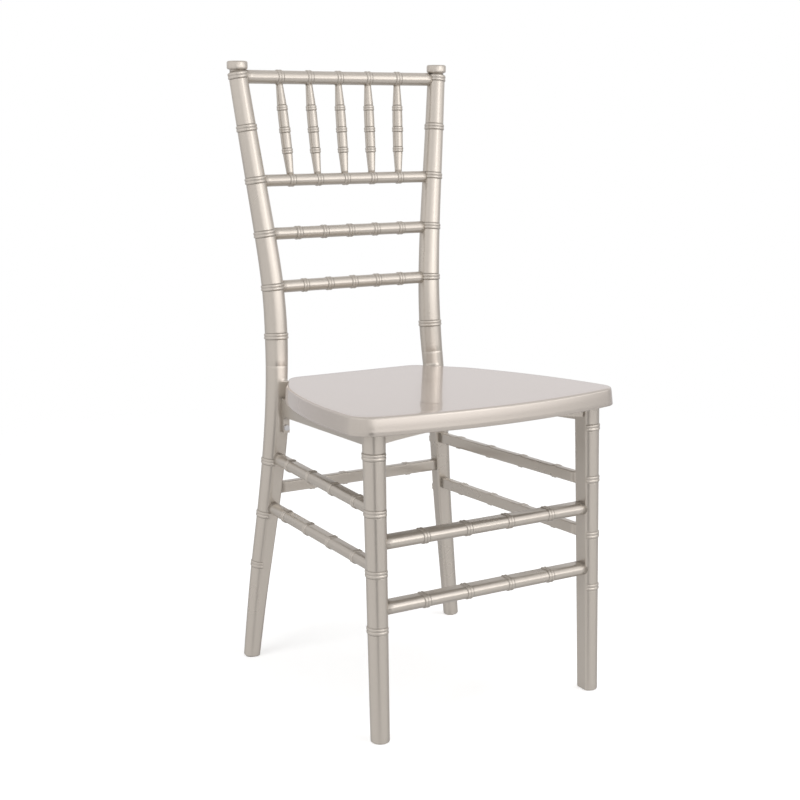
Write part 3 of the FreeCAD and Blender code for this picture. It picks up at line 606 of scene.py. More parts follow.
@dataclass(frozen=True)
class Finish:
    """A moulded or metal finish, with a clear coat and an orange peel where it has them, and with painted
    shade in its crevices.
    """

    name: str
    colour: Colour
    metallic: float
    roughness: float
    coat: float = 0.0
    coat_roughness: float = 0.03
    bump: float = 0.0
    bump_depth: float = 0.0004
    edge_tint: Colour = (1.0, 1.0, 1.0)

    @cache
    def material(self) -> bpy.types.Material:
        """Make the material, once.

        Returns:
            The material.
        """
        material, tree, shader = new_material(
            self.name, Metallic=self.metallic, Coat_Weight=self.coat, Coat_Roughness=self.coat_roughness,
            Specular_Tint=(*self.edge_tint, 1.0))
        # The group's colour carries painted shade in the crevices as well as flakes and flow marks.
        group = tree.nodes.new("ShaderNodeGroup")
        group.node_tree = PearlGroup().tree()
        group.inputs["Colour"].default_value = (*self.colour, 1.0)
        group.inputs["Roughness"].default_value = self.roughness
        tree.links.new(group.outputs["Colour"], shader.inputs["Base Color"])
        tree.links.new(group.outputs["Roughness"], shader.inputs["Roughness"])
        if self.bump:
            bump = tree.nodes.new("ShaderNodeBump")
            bump.inputs["Strength"].default_value = self.bump
            bump.inputs["Distance"].default_value = self.bump_depth
            tree.links.new(group.outputs["Height"], bump.inputs["Height"])
            tree.links.new(bump.outputs["Normal"], shader.inputs["Normal"])
        return material


FINISHES = {
    Slot.FRAME: Finish("pearl resin", (0.562, 0.518, 0.462), metallic=0.65, roughness=0.28, coat=0.1,
                       coat_roughness=0.12, bump=0.01),
    Slot.SEAT: Finish("polished pearl resin", (0.565, 0.515, 0.46), metallic=0.45, roughness=0.23,
                      coat=0.8, coat_roughness=0.04, bump=0.01, edge_tint=(1.0, 0.90, 0.92)),
    Slot.NYLON: Finish("glide nylon", (0.45, 0.43, 0.40), metallic=0.0, roughness=0.55),
    Slot.STEEL: Finish("zinc plated steel", (0.62, 0.62, 0.63), metallic=1.0, roughness=0.35),
    Slot.BRASS: Finish("turned brass", (0.72, 0.56, 0.29), metallic=1.0, roughness=0.3),
}


def fit_skin(loft: Loft, node: str, slot: Slot = Slot.FRAME) -> None:
    """Make a skin, let it ride on the chair, stand for its node and take its finish.

    Args:
        loft: The skin.
        node: The node that it replaces.
        slot: The finish that it has.
    """
    obj = loft.build(f"{node}_skin")
    obj.data.materials.append(FINISHES[slot].material())
    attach(obj, BODY)
    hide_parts(node)
    LOG.info("%s stands for %s", obj.name, node)


def fit_pair(loft: Loft, word: str) -> None:
    """Fit the right and the left copy of a skin.

    Args:
        loft: The right-hand skin.
        word: The node's name without its side.
    """
    for side, skin in ((Side.RIGHT, loft), (Side.LEFT, loft.mirror())):
        fit_skin(skin, f"{side.name.lower()}_{word}")


@dataclass(frozen=True)
class KeptNodes:
    """Nodes of the frame that keep their own meshes and get a finish."""

    slot: Slot
    nodes: tuple[str, ...]
    edge_width: float = 0.0
    edge_segments: int = 3
    edge_angle: float = 40.0

    def dress(self, shown: dict[str, bpy.types.Object]) -> None:
        """Give each node its finish, and round its sharp edges where they have a width.

        Args:
            shown: The frame's nodes by name.
        """
        for node in self.nodes:
            obj = shown[node]
            obj.data.materials.clear()
            obj.data.materials.append(FINISHES[self.slot].material())
            if self.edge_width:
                bevel = obj.modifiers.new("soft edges", "BEVEL")
                bevel.width = self.edge_width * MM
                bevel.segments = self.edge_segments
                bevel.limit_method = "ANGLE"
                bevel.angle_limit = math.radians(self.edge_angle)
                bevel.harden_normals = True
            LOG.info("%s keeps its mesh", node)


# Members of the frame


@dataclass(frozen=True)
class Foot:
    """The lower end of a leg, with a rounded edge just above its glide."""

    height: float = 0.6
    radius: float = 2.0
    shares: tuple[float, ...] = (0.1, 0.3, 0.6, 1.0)

    def inset(self, height: float) -> float:
        """How far the rounded edge draws a section in.

        Args:
            height: The section's height.

        Returns:
            The distance, nought above the rounded edge.
        """
        below = max(self.height + self.radius - height, 0.0)
        return self.radius - math.sqrt(max(self.radius ** 2 - below ** 2, 0.0))

    def places(self) -> list[float]:
        """The heights at which the rounded edge is drawn."""
        return [self.height + self.radius * share for share in self.shares]


@dataclass
class RearPosts:
    """The two rear posts, from the feet to the top of the back.

    Their axes pass through the stations: heights over the floor, the spacings between the two posts
    there, and how far back they lie. Up to the block's height they have a flat inner face and a flat
    front face with a square corner between them, and above it they are round. A mould seam runs round
    each just over the block.
    """

    heights: tuple[float, ...] = (0.0, 150.0, 230.0, 310.0, 400.0, 500.0, 580.0, 660.0, 780.0, 893.0)
    spacings: tuple[float, ...] = (376.0, 343.6, 324.2, 307.8, 290.5, 278.2, 281.0, 295.5, 324.0, 349.8)
    backs: tuple[float, ...] = (382.7, 378.8, 374.0, 368.8, 368.6, 375.6, 382.3, 391.2, 404.2, 416.6)
    foot_radius: float = 12.3
    waist_radius: float = 17.4
    waist_height: float = 500.0
    top_radius: float = 13.9
    top_height: float = 898.0
    block_height: float = 438.0
    block_round: float = 7.0
    block_corner: float = 3.0
    block_shares: tuple[float, ...] = (1.0, 0.8, 0.6, 0.4, 0.25, 0.12, 0.04, -0.02)
    foot_corner: float = 10.3
    corner_fade_height: float = 160.0
    seam_height: float = 460.0
    seam_depth: float = 0.22
    seam_width: float = 1.6
    ring_heights: tuple[float, ...] = (893.0, 816.3, 739.3, 659.5, 579.3, 505.1, 313.5, 229.7, 149.3)
    step: float = 14.0
    ring: DoubleRing = DoubleRing()
    foot: Foot = Foot()

    def __post_init__(self) -> None:
        """Fit the axis through its stations."""
        self._spacing = Spline(self.heights, self.spacings)
        self._back = Spline(self.heights, self.backs)

    def axis(self, height: float) -> Vector:
        """The right post's axis at a height."""
        return Vector((self._spacing(height) / 2, self._back(height), height))

    def direction(self, height: float) -> Vector:
        """The upward direction of the right post's axis at a height."""
        return (self.axis(height + 1) - self.axis(height - 1)).normalized()

    def radius(self, height: float) -> float:
        """The plain radius at a height.

        Args:
            height: Height over the floor.

        Returns:
            The radius without a bead.
        """
        if height < self.waist_height:
            return mix(self.foot_radius, self.waist_radius, height / self.waist_height)
        share = (height - self.waist_height) / (self.top_height - self.waist_height)
        return mix(self.waist_radius, self.top_radius, share)

    def corner(self, height: float) -> float:
        """Radius of the square corner at a height.

        Args:
            height: Height over the floor.

        Returns:
            The corner's radius, which is the plain radius where the post is round.
        """
        radius = self.radius(height)
        if height > self.block_height:
            return radius
        sharp = mix(self.foot_corner, self.block_corner, min(height / self.corner_fade_height, 1.0))
        share = max(height - self.block_height + self.block_round, 0.0) / self.block_round
        return mix(sharp, radius, 1 - math.sqrt(max(1 - share * share, 0.0)))

    def section(self, height: float) -> Loop:
        """The loop of points round the right post at a height.

        Args:
            height: Height over the floor.

        Returns:
            The loop square to the post's axis, with no point under the foot.
        """
        centre, up = self.axis(height), self.direction(height)
        inner = (Vector((-1.0, 0.0, 0.0)) + up * up.x).normalized()
        front = up.cross(inner).normalized()
        radius, corner = self.radius(height), self.corner(height)
        bead = self.ring.total(height, self.ring_heights, up.z)
        seam = self.seam_depth * max(1 - abs(height - self.seam_height) / (self.seam_width / 2), 0.0)
        cut = seam + self.foot.inset(height)
        loop = []
        for angle in SQUARED_ANGLES:
            mask = flat_mask(angle, 0.0, math.pi / 2) if height < self.block_height else 1.0
            reach = squared_reach(angle, radius, radius, corner) + bead * mask - cut
            point = centre + inner * (reach * math.cos(angle)) + front * (reach * math.sin(angle))
            point.z = max(point.z, self.foot.height)
            loop.append(point)
        return loop

    def build(self) -> None:
        """Make both posts."""
        half = self.seam_width / 2
        places = self.ring.places(self.foot.height, self.top_height, self.step, self.ring_heights)
        places += self.foot.places()
        places += [self.seam_height + away for away in (-half, 0.0, half)]
        places += [self.block_height - self.block_round * share for share in self.block_shares]
        fit_pair(Loft([self.section(height) for height in sorted(set(places))]), "rear_post")


@dataclass
class FrontLegs:
    """The two straight front legs, with a flat inner face and a flat rear face."""

    foot_spacing: float = 359.0
    lean_spacing: float = 0.9
    lean_back: float = 15.8
    lean_height: float = 430.0
    foot_radius: float = 13.3
    top_radius: float = 15.8
    inner_flat_share: float = 0.82
    corner_radius: float = 2.0
    under_seat_gap: float = 0.1
    ring_heights: tuple[float, ...] = (395.5, 319.5, 236.8, 158.5)
    step: float = 16.0
    ring: DoubleRing = DoubleRing()
    foot: Foot = Foot()

    def axis(self, height: float) -> Vector:
        """The right leg's axis at a height."""
        share = height / self.lean_height
        return Vector(((self.foot_spacing - self.lean_spacing * share) / 2, self.lean_back * share, height))

    def radius(self, height: float) -> float:
        """The plain radius at a height."""
        return mix(self.foot_radius, self.top_radius, height / self.lean_height)

    def inner_flat(self, height: float) -> float:
        """The distance of the inner flat from the axis at a height."""
        return self.radius(height) * self.inner_flat_share

    def section(self, height: float, seat: "SeatTray") -> Loop:
        """The loop of points round the right leg at a height.

        Args:
            height: Height over the floor.
            seat: The seat that cuts the leg off.

        Returns:
            The level loop, lowered where the seat is lower.
        """
        centre, radius = self.axis(height), self.radius(height)
        bead, inset = self.ring.total(height, self.ring_heights), self.foot.inset(height)
        flat_end = -math.acos(self.inner_flat_share)
        loop = []
        for angle in SQUARED_ANGLES:
            reach = squared_reach(angle, self.inner_flat(height), radius, self.corner_radius)
            reach += bead * flat_mask(angle, flat_end, math.pi / 2) - inset
            point = centre + Vector((-reach * math.cos(angle), reach * math.sin(angle), 0.0))
            point.z = min(point.z, seat.under(point.y) - self.under_seat_gap)
            loop.append(point)
        return loop

    def build(self, seat: "SeatTray") -> None:
        """Make both legs.

        Args:
            seat: The seat that they carry.
        """
        top = seat.under(self.axis(self.lean_height).y)
        places = self.ring.places(self.foot.height, top, self.step, self.ring_heights)
        places = sorted(set(places + self.foot.places()))
        fit_pair(Loft([self.section(height, seat) for height in places]), "front_leg")


@dataclass
class BackRail:
    """One round rail with five rings, whose middle lies further back than its ends by the bow."""

    node: str
    height: float
    radius: float
    bow: float
    pitch: float
    posts: RearPosts
    ring: DoubleRing = DoubleRing()
    past_wall: float = 3.0
    saddle_share: float = 0.25
    step: float = 12.0
    points: int = 40

    def __post_init__(self) -> None:
        """Work out the bow and the places of the rings."""
        axis = self.posts.axis(self.height)
        self.half_span = axis.x
        self.bend = (self.half_span ** 2 + self.bow ** 2) / (2 * self.bow)
        self.centre = Vector((0.0, axis.y + self.bow - self.bend, self.height))
        self.rings = [number * self.pitch for number in range(-2, 3)]

    def point(self, across: float) -> Vector:
        """The axis at a distance across."""
        return self.centre + Vector((across, math.sqrt(self.bend ** 2 - across ** 2), 0.0))

    def section(self, across: float) -> Loop:
        """The loop of points round the rail at a distance across.

        Args:
            across: The distance from the chair's middle.

        Returns:
            The loop square to the rail's axis.
        """
        middle = self.point(across)
        outward = (middle - self.centre).normalized()
        reach = self.radius + self.ring.total(across, self.rings)
        return [middle + outward * (reach * math.cos(turn)) + UP * (reach * math.sin(turn))
                for turn in full_turn(self.points)]

    def build(self) -> None:
        """Make the rail."""
        wall = self.half_span - self.posts.radius(self.height)
        end = wall + self.past_wall + self.radius * self.saddle_share
        places = self.ring.places(-end, end, self.step, self.rings)
        fit_skin(Loft([self.section(across) for across in places]), self.node)


@dataclass
class Spindles:
    """The five turned spindles between the rings of the two upper rails."""

    top: BackRail
    low: BackRail
    end_radius: float = 5.4
    shoulder_radius: float = 7.6
    middle_radius: float = 8.0
    ring_heights: tuple[float, ...] = (782.0, 813.5, 847.0)
    ring: DoubleRing = DoubleRing(proud=0.9, valley=0.2, width=8.0)
    past_wall: float = 1.6
    step: float = 5.0
    points: int = 32

    def radius(self) -> Spline:
        """The plain radius of a spindle by height.

        Returns:
            The radius, largest at the middle ring and smallest at the rails.
        """
        low_end = self.low.height + self.low.radius
        top_end = self.top.height - self.top.radius
        places = (low_end, mix(low_end, self.ring_heights[0], 0.5), *self.ring_heights,
                  mix(top_end, self.ring_heights[2], 0.5), top_end)
        between = mix(self.end_radius, self.shoulder_radius, 0.5)
        half = (self.end_radius, between, self.shoulder_radius)
        return Spline(places, (*half, self.middle_radius, *reversed(half)))

    def build(self) -> None:
        """Make the five spindles."""
        plain = self.radius()
        for number, (low_across, top_across) in enumerate(zip(self.low.rings, self.top.rings), 1):
            foot = self.low.point(low_across)
            span = self.top.point(top_across) - foot
            start = self.low.radius - self.past_wall
            end = span.length - self.top.radius + self.past_wall
            rings = [height - foot.z for height in self.ring_heights]
            profile = [(plain(foot.z + along) + self.ring.total(along, rings), along)
                       for along in self.ring.places(start, end, self.step, rings)]
            fit_skin(Loft(lathe(profile, foot, span.normalized(), self.points)), f"back_spindle_{number}")


@dataclass
class HalfRoundBar:
    """A stretcher with four rings: flat on the inside, half round on the outside.

    Its outside lies outboard of the line from its start to its end.
    """

    start: Vector
    end: Vector
    tall: float
    deep: float
    outboard: float
    pitch: float
    edge_radius: float = 1.3
    ring: DoubleRing = DoubleRing()
    step: float = 14.0
    inner_steps: int = 4
    edge_steps: int = 3
    outer_steps: int = 18

    def outline(self, bead: float) -> list[tuple[float, float]]:
        """The section as (outboard, height) points.

        Args:
            bead: Height of a ring over the top, outside and bottom.

        Returns:
            The points in order round the section.
        """
        half, edge = self.tall / 2 + bead, self.edge_radius
        inner = self.outboard - self.deep
        straight = self.outboard - self.tall / 2
        reach = self.outboard + bead - straight
        level = [mix(inner + edge, straight, share) for share in (1 / 3, 2 / 3)]
        points = [(inner, mix(half - edge, edge - half, step / self.inner_steps))
                  for step in range(self.inner_steps + 1)]
        points += arc((inner + edge, edge - half), edge, 180, 270, self.edge_steps)[1:]
        points += [(across, -half) for across in level]
        points += [(straight + reach * across, half * height)
                   for across, height in arc((0.0, 0.0), 1.0, -90, 90, self.outer_steps)]
        points += [(across, half) for across in reversed(level)]
        points += arc((inner + edge, half - edge), edge, 90, 180, self.edge_steps)[:-1]
        return points

    def loft(self) -> Loft:
        """Skin the bar from its start to its end.

        Returns:
            The bar's skin.
        """
        span = self.end - self.start
        along = span.normalized()
        out = UP.cross(along).normalized()
        rings = [span.length / 2 + number * self.pitch for number in (-1.5, -0.5, 0.5, 1.5)]
        return Loft([[self.start + along * place + out * across + UP * height
                      for across, height in self.outline(self.ring.total(place, rings))]
                     for place in self.ring.places(0.0, span.length, self.step, rings)])


@dataclass
class Stretchers:
    """The seven stretchers between the legs."""

    posts: RearPosts
    legs: FrontLegs
    front_heights: tuple[tuple[str, float], ...] = (("upper", 275.6), ("lower", 185.6))
    front_tall: float = 17.4
    front_deep: float = 22.0
    front_outboard: float = 11.0
    front_pitch: float = 70.0
    side_heights: tuple[tuple[str, float], ...] = (("upper", 318.0), ("lower", 240.0))
    side_tall: float = 16.5
    side_deep: float = 16.5
    side_outboard: float = 5.0
    side_pitch: float = 77.0
    rear_height: float = 270.9
    rear_tall: float = 17.1
    rear_deep: float = 18.5
    rear_ahead: float = 11.9
    rear_pitch: float = 58.5
    seat_depth: float = 3.0

    def front(self, height: float) -> Loft:
        """A front stretcher, seated in the inner faces of the legs.

        Args:
            height: Its height over the floor.

        Returns:
            Its skin.
        """
        axis = self.legs.axis(height)
        end_x = axis.x - self.legs.inner_flat(height) + self.seat_depth
        return HalfRoundBar(Vector((end_x, axis.y, height)), Vector((-end_x, axis.y, height)),
                            self.front_tall, self.front_deep, self.front_outboard,
                            self.front_pitch).loft()

    def side(self, height: float) -> Loft:
        """A right side stretcher, seated in the leg and the post.

        Args:
            height: Its height over the floor.

        Returns:
            Its skin.
        """
        front, rear = self.legs.axis(height), self.posts.axis(height)
        along = (rear - front).normalized()
        start = front + along * (self.legs.radius(height) - self.seat_depth)
        end = rear - along * (self.posts.radius(height) - self.seat_depth)
        return HalfRoundBar(end, start, self.side_tall, self.side_deep, self.side_outboard,
                            self.side_pitch).loft()

    def rear(self) -> Loft:
        """The rear stretcher, whose flat face looks forward.

        Returns:
            Its skin.
        """
        axis = self.posts.axis(self.rear_height)
        end_x = axis.x - self.posts.radius(self.rear_height) + self.seat_depth
        return HalfRoundBar(Vector((-end_x, axis.y, axis.z)), Vector((end_x, axis.y, axis.z)),
                            self.rear_tall, self.rear_deep, self.rear_deep - self.rear_ahead,
                            self.rear_pitch).loft()

    def build(self) -> None:
        """Make all seven."""
        for word, height in self.front_heights:
            fit_skin(self.front(height), f"{word}_front_stretcher")
        for word, height in self.side_heights:
            fit_pair(self.side(height), f"{word}_side_stretcher")
        fit_skin(self.rear(), "rear_stretcher")


# The seat


def circle_through(first: Vector, second: Vector, third: Vector) -> tuple[Vector, float]:
    """The circle through three points.

    Args:
        first: The first point.
        second: The second point.
        third: The third point.

    Returns:
        The circle's centre and radius.
    """
    side_a, side_b = second - first, third - first
    cross = 2 * (side_a.x * side_b.y - side_a.y * side_b.x)
    square_a, square_b = side_a.length_squared, side_b.length_squared
    offset = Vector(((side_b.y * square_a - side_a.y * square_b) / cross,
                     (side_a.x * square_b - side_b.x * square_a) / cross))
    return first + offset, offset.length


def meet_circles(first: Vector, first_radius: float, second: Vector, second_radius: float,
                 near: Vector) -> Vector:
    """The crossing of two circles that lies nearer to a point.

    Args:
        first: Centre of the first circle.
        first_radius: Its radius.
        second: Centre of the second circle.
        second_radius: Its radius.
        near: The point.

    Returns:
        The crossing.
    """
    gap = second - first
    distance = gap.length
    along = (first_radius ** 2 - second_radius ** 2 + distance ** 2) / (2 * distance)
    side = math.sqrt(max(first_radius ** 2 - along ** 2, 0.0))
    base = first + gap * (along / distance)
    offset = Vector((-gap.y, gap.x)) * (side / distance)
    return min((base + offset, base - offset), key=lambda point: (point - near).length)


def meet_line(centre: Vector, radius: float, start: Vector, direction: Vector, near: Vector) -> Vector:
    """The crossing of a circle and a line that lies nearer to a point.

    Args:
        centre: Centre of the circle.
        radius: Its radius.
        start: A point on the line.
        direction: The line's direction.
        near: The point.

    Returns:
        The crossing.
    """
    foot = start + direction * (centre - start).dot(direction)
    half = math.sqrt(max(radius ** 2 - (foot - centre).length_squared, 0.0))
    return min((foot + direction * half, foot - direction * half), key=lambda point: (point - near).length)


def arc_samples(centre: Vector, radius: float, start: Vector, end: Vector, steps: int) -> list[Sample]:
    """Points and outward normals along an arc.

    Args:
        centre: The arc's centre.
        radius: Its radius.
        start: The outward direction at its first point.
        end: The outward direction at its last point.
        steps: Steps from the first point to the last.

    Returns:
        The samples with both ends.
    """
    first = math.atan2(start.y, start.x)
    turn = (math.atan2(end.y, end.x) - first + math.pi) % (2 * math.pi) - math.pi
    angles = [first + turn * step / steps for step in range(steps + 1)]
    normals = [Vector((math.cos(angle), math.sin(angle))) for angle in angles]
    return [(centre + normal * radius, normal) for normal in normals]


@dataclass
class SeatTray:
    """The moulded seat: a shell with a skirt, ribs and screw bosses.

    Its outline is an arc across the front, a round front corner, an arc along the side, a bend, a
    straight slant, a round rear corner and a straight rear. The profiles are drawn for a level seat.
    Their depths are heights over its top, and so below nought, except the boss's, which are radii with
    distances down from the plate.
    """

    height: float = 445.6
    level_place: float = 180.0
    slope: float = 0.04
    wall: float = 3.0
    skirt: float = 25.5
    flare: float = 2.0
    edge_radius: float = 3.5
    lip_radius: float = 1.2
    lip_spread: float = 1.5
    under_fillet: float = 1.5
    front_middle: float = -39.0
    front_corner: tuple[float, float] = (215.5, -5.0)
    side_middle: tuple[float, float] = (197.5, 172.0)
    side_end: tuple[float, float] = (163.0, 300.0)
    rear_corner: tuple[float, float] = (113.5, 385.0)
    front_corner_radius: float = 35.0
    side_bend_radius: float = 60.0
    rear_corner_radius: float = 28.0
    front_steps: int = 24
    front_corner_steps: int = 16
    side_steps: int = 26
    side_bend_steps: int = 4
    slant_steps: int = 6
    rear_steps: int = 12
    edge_steps: int = 7
    skirt_steps: int = 4
    lip_steps: int = 4
    centre_place: float = 178.0
    plate_shares: tuple[float, ...] = (0.05, 0.12, 0.25, 0.4, 0.55, 0.7, 0.85, 0.95)
    rib_rows: tuple[float, ...] = (95.0, 170.0, 245.0)
    rib_columns: tuple[float, ...] = (-70.0, 0.0, 70.0)
    rib_profile: Profile = ((-2.15, -2.7), (-1.55, -3.3), (-1.25, -4.0), (-1.25, -14.1), (-0.95, -14.7),
                            (-0.35, -15.0))
    bosses: tuple[tuple[float, float], ...] = ((95.0, 27.8), (151.2, 115.1), (140.2, 220.1), (62.0, 355.6))
    boss_profile: Profile = ((7.7, -1.0), (7.7, 0.0), (7.0, 0.3), (6.6, 1.0), (6.5, 2.0), (6.5, 15.2),
                             (6.25, 15.8), (5.7, 16.0), (2.7, 16.0), (2.2, 15.5), (2.2, 4.0))
    boss_points: int = 28

    def top(self, back: float) -> float:
        """Height of the seat's top at a distance behind the front feet."""
        return self.height - self.slope * (back - self.level_place)

    def under(self, back: float) -> float:
        """Height of the underside of the seat's top plate."""
        return self.top(back) - self.wall

    def tilted(self, across: float, back: float, depth: float) -> Vector:
        """A point of a level seat, moved to the sloping seat.

        Args:
            across: Its distance from the seat's middle plane.
            back: Its distance behind the front feet.
            depth: Its height over the seat's top.

        Returns:
            The point on the chair.
        """
        tilt = math.atan(self.slope)
        run = back - self.level_place
        return Vector((across, self.level_place + run * math.cos(tilt) + depth * math.sin(tilt),
                       self.height - run * math.sin(tilt) + depth * math.cos(tilt)))

    def outline(self) -> list[Sample]:
        """The right half of the outline, from the front to the rear.

        Returns:
            Points with their outward normals.
        """
        corner, end, rear = Vector(self.front_corner), Vector(self.side_end), Vector(self.rear_corner)
        ahead, behind = Vector((0.0, -1.0)), Vector((0.0, 1.0))
        front_centre, front_radius = circle_through(Vector((-corner.x, corner.y)),
                                                    Vector((0.0, self.front_middle)), corner)
        side_centre, side_radius = circle_through(corner, Vector(self.side_middle), end)
        first = meet_circles(front_centre, front_radius - self.front_corner_radius,
                             side_centre, side_radius - self.front_corner_radius, corner)
        slant = (rear - end).normalized()
        inward = Vector((-slant.y, slant.x))
        second = meet_line(side_centre, side_radius - self.side_bend_radius,
                           end + inward * self.side_bend_radius, slant, end)
        rise = (self.rear_corner_radius * (1 + inward.y)) / -slant.y
        third = rear + inward * self.rear_corner_radius + slant * rise
        front_end = (first - front_centre).normalized()
        side_start, side_stop = (first - side_centre).normalized(), (second - side_centre).normalized()
        samples = arc_samples(front_centre, front_radius, ahead, front_end, self.front_steps)
        samples += arc_samples(first, self.front_corner_radius, front_end, side_start,
                               self.front_corner_steps)[1:-1]
        samples += arc_samples(side_centre, side_radius, side_start, side_stop, self.side_steps)[1:-1]
        samples += arc_samples(second, self.side_bend_radius, side_stop, -inward,
                               self.side_bend_steps)[1:-1]
        slant_start = second - inward * self.side_bend_radius
        slant_end = third - inward * self.rear_corner_radius
        samples += [(slant_start.lerp(slant_end, step / self.slant_steps), -inward)
                    for step in range(1, self.slant_steps)]
        samples += arc_samples(third, self.rear_corner_radius, -inward, behind, self.rear_steps)[1:]
        edge = third + behind * self.rear_corner_radius
        samples += [(Vector((edge.x * (1 - step / self.rear_steps), edge.y)), behind)
                    for step in range(1, self.rear_steps + 1)]
        return samples

    def loop(self, samples: Sequence[Sample], offset: float, depth: float) -> Loop:
        """The whole outline at one place of the seat's profile.

        Args:
            samples: The right half of the outline.
            offset: How far it is moved outwards.
            depth: Its height over the seat's top.

        Returns:
            The loop round the seat.
        """
        moved = [point + normal * offset for point, normal in samples]
        right = [self.tilted(point.x, point.y, depth) for point in moved]
        return right + [Vector((-point.x, point.y, point.z)) for point in reversed(right[1:-1])]

    def shrunk(self, loop: Loop, share: float) -> Loop:
        """A loop drawn in towards the seat's middle.

        Args:
            loop: The loop.
            share: How far, from 0 to 1 at the middle.

        Returns:
            The smaller loop.
        """
        centre = self.tilted(0.0, self.centre_place, loop[0].z - self.top(loop[0].y))
        return [point.lerp(centre, share) for point in loop]

    def profile(self) -> list[tuple[float, float]]:
        """The section of the skirt, from the top's edge round the lip to the underside.

        Returns:
            (offset, depth) points.
        """
        edge, lip = self.edge_radius, self.lip_radius
        depths = [mix(-edge, lip - self.skirt, step / self.skirt_steps)
                  for step in range(1, self.skirt_steps)]
        points = arc((-edge, -edge), edge, 90, 0, self.edge_steps)
        points += [(-self.flare * depth / self.skirt, depth) for depth in depths]
        points += [(self.flare - self.lip_spread * (1 - across), lip * (1 - drop) - self.skirt)
                   for across, drop in arc((0.0, 0.0), 1.0, 0, 180, self.lip_steps)]
        points.append((mix(self.flare - 2 * lip, -self.wall, 0.5), -self.skirt / 2))
        points.append((-self.wall, -self.wall - self.under_fillet))
        points.append((-self.wall - self.under_fillet, -self.wall))
        return points

    def build(self) -> None:
        """Make the seat."""
        samples = self.outline()
        loops = [self.loop(samples, offset, depth) for offset, depth in self.profile()]
        top = [self.shrunk(loops[0], share) for share in reversed(self.plate_shares)]
        under = [self.shrunk(loops[-1], share) for share in self.plate_shares]
        loft = Loft(top + loops + under)
        for back in self.rib_rows:
            loft.add([self.rib_section(across, back, (0.0, 1.0)) for across in self.rib_columns])
        for across in self.rib_columns:
            loft.add([self.rib_section(across, back, (1.0, 0.0)) for back in self.rib_rows])
        down = (self.tilted(0.0, 0.0, -1.0) - self.tilted(0.0, 0.0, 0.0)).normalized()
        for across, back in self.bosses:
            for side in Side:
                foot = self.tilted(side.value * across, back, -self.wall)
                loft.add(lathe(self.boss_profile, foot, down, self.boss_points))
        fit_skin(loft, "seat_tray", Slot.SEAT)

    def rib_section(self, across: float, back: float, aside: tuple[float, float]) -> Loop:
        """The section of a rib at a place under the seat.

        Args:
            across: The rib's middle across the seat.
            back: The rib's middle behind the front feet.
            aside: The direction of the rib's thickness, as (across, back).

        Returns:
            The loop of points, rounded along the rib's lower edges.
        """
        points = [*self.rib_profile, *((-side, depth) for side, depth in reversed(self.rib_profile))]
        return [self.tilted(across + aside[0] * side, back + aside[1] * side, depth)
                for side, depth in points]


# Caps


@dataclass
class PostCaps:
    """The button on top of each rear post."""

    posts: RearPosts
    neck_radius: float = 11.5
    neck_height: float = 3.5
    neck_fillet: float = 0.4
    sunk: float = 1.0
    radius: float = 15.5
    height: float = 12.6
    edge_radius: float = 3.0
    edge_steps: int = 5
    top_radii: tuple[float, ...] = (7.75, 2.0)

    def build(self) -> None:
        """Make both caps."""
        edge, middle, top = self.edge_radius, self.radius - self.edge_radius, self.neck_height + self.height
        profile = [(self.neck_radius, -self.sunk), (self.neck_radius, self.neck_height - self.neck_fillet),
                   (self.neck_radius + self.neck_fillet, self.neck_height)]
        profile += arc((middle, self.neck_height + edge), edge, -90, 0, self.edge_steps)
        profile += arc((middle, top - edge), edge, 0, 90, self.edge_steps)
        profile += [(radius, top) for radius in self.top_radii]
        fit_pair(Loft(lathe(profile, self.posts.axis(self.posts.top_height), UP)), "post_cap")


# Studio


@dataclass(frozen=True)
class Camera:
    """The photograph's camera, in millimetres from the front feet."""

    place: tuple[float, float, float] = (-1117.83, -1584.57, 834.62)
    azimuth: float = -31.468
    elevation: float = 11.115
    focal_pixels: float = 1447.66
    frame_pixels: float = 800.0
    sensor: float = 36.0
    nearest: float = 0.05
    farthest: float = 50.0

    def build(self) -> None:
        """Make the camera and use it."""
        data = bpy.data.cameras.new("camera")
        data.sensor_fit = "HORIZONTAL"
        data.sensor_width = self.sensor
        data.lens = self.focal_pixels * self.sensor / self.frame_pixels
        data.clip_start = self.nearest
        data.clip_end = self.farthest
        obj = add_object("camera", data)
        obj.location = Vector(self.place) * MM + drawing_zero()
        turn, rise = math.radians(self.azimuth), math.radians(self.elevation)
        toward = Vector((-math.sin(turn) * math.cos(rise), math.cos(turn) * math.cos(rise),
                         -math.sin(rise)))
        obj.rotation_euler = toward.to_track_quat("-Z", "Y").to_euler()
        bpy.context.scene.camera = obj


@dataclass(frozen=True)
class Lamp:
    """One soft rectangular lamp that looks at the middle of the chair."""

    name: str
    place: tuple[float, float, float]
    size: tuple[float, float]
    power: float
    mirrored: bool = False
    target: tuple[float, float, float] = (0.0, 0.0, 0.45)

    def build(self) -> None:
        """Make the lamp."""
        data = bpy.data.lights.new(self.name, "AREA")
        data.shape = "RECTANGLE"
        data.size, data.size_y = self.size
        data.energy = self.power
        obj = add_object(self.name, data)
        obj.visible_glossy = self.mirrored
        obj.location = self.place
        toward = Vector(self.target) - Vector(self.place)
        obj.rotation_euler = toward.to_track_quat("-Z", "Y").to_euler()


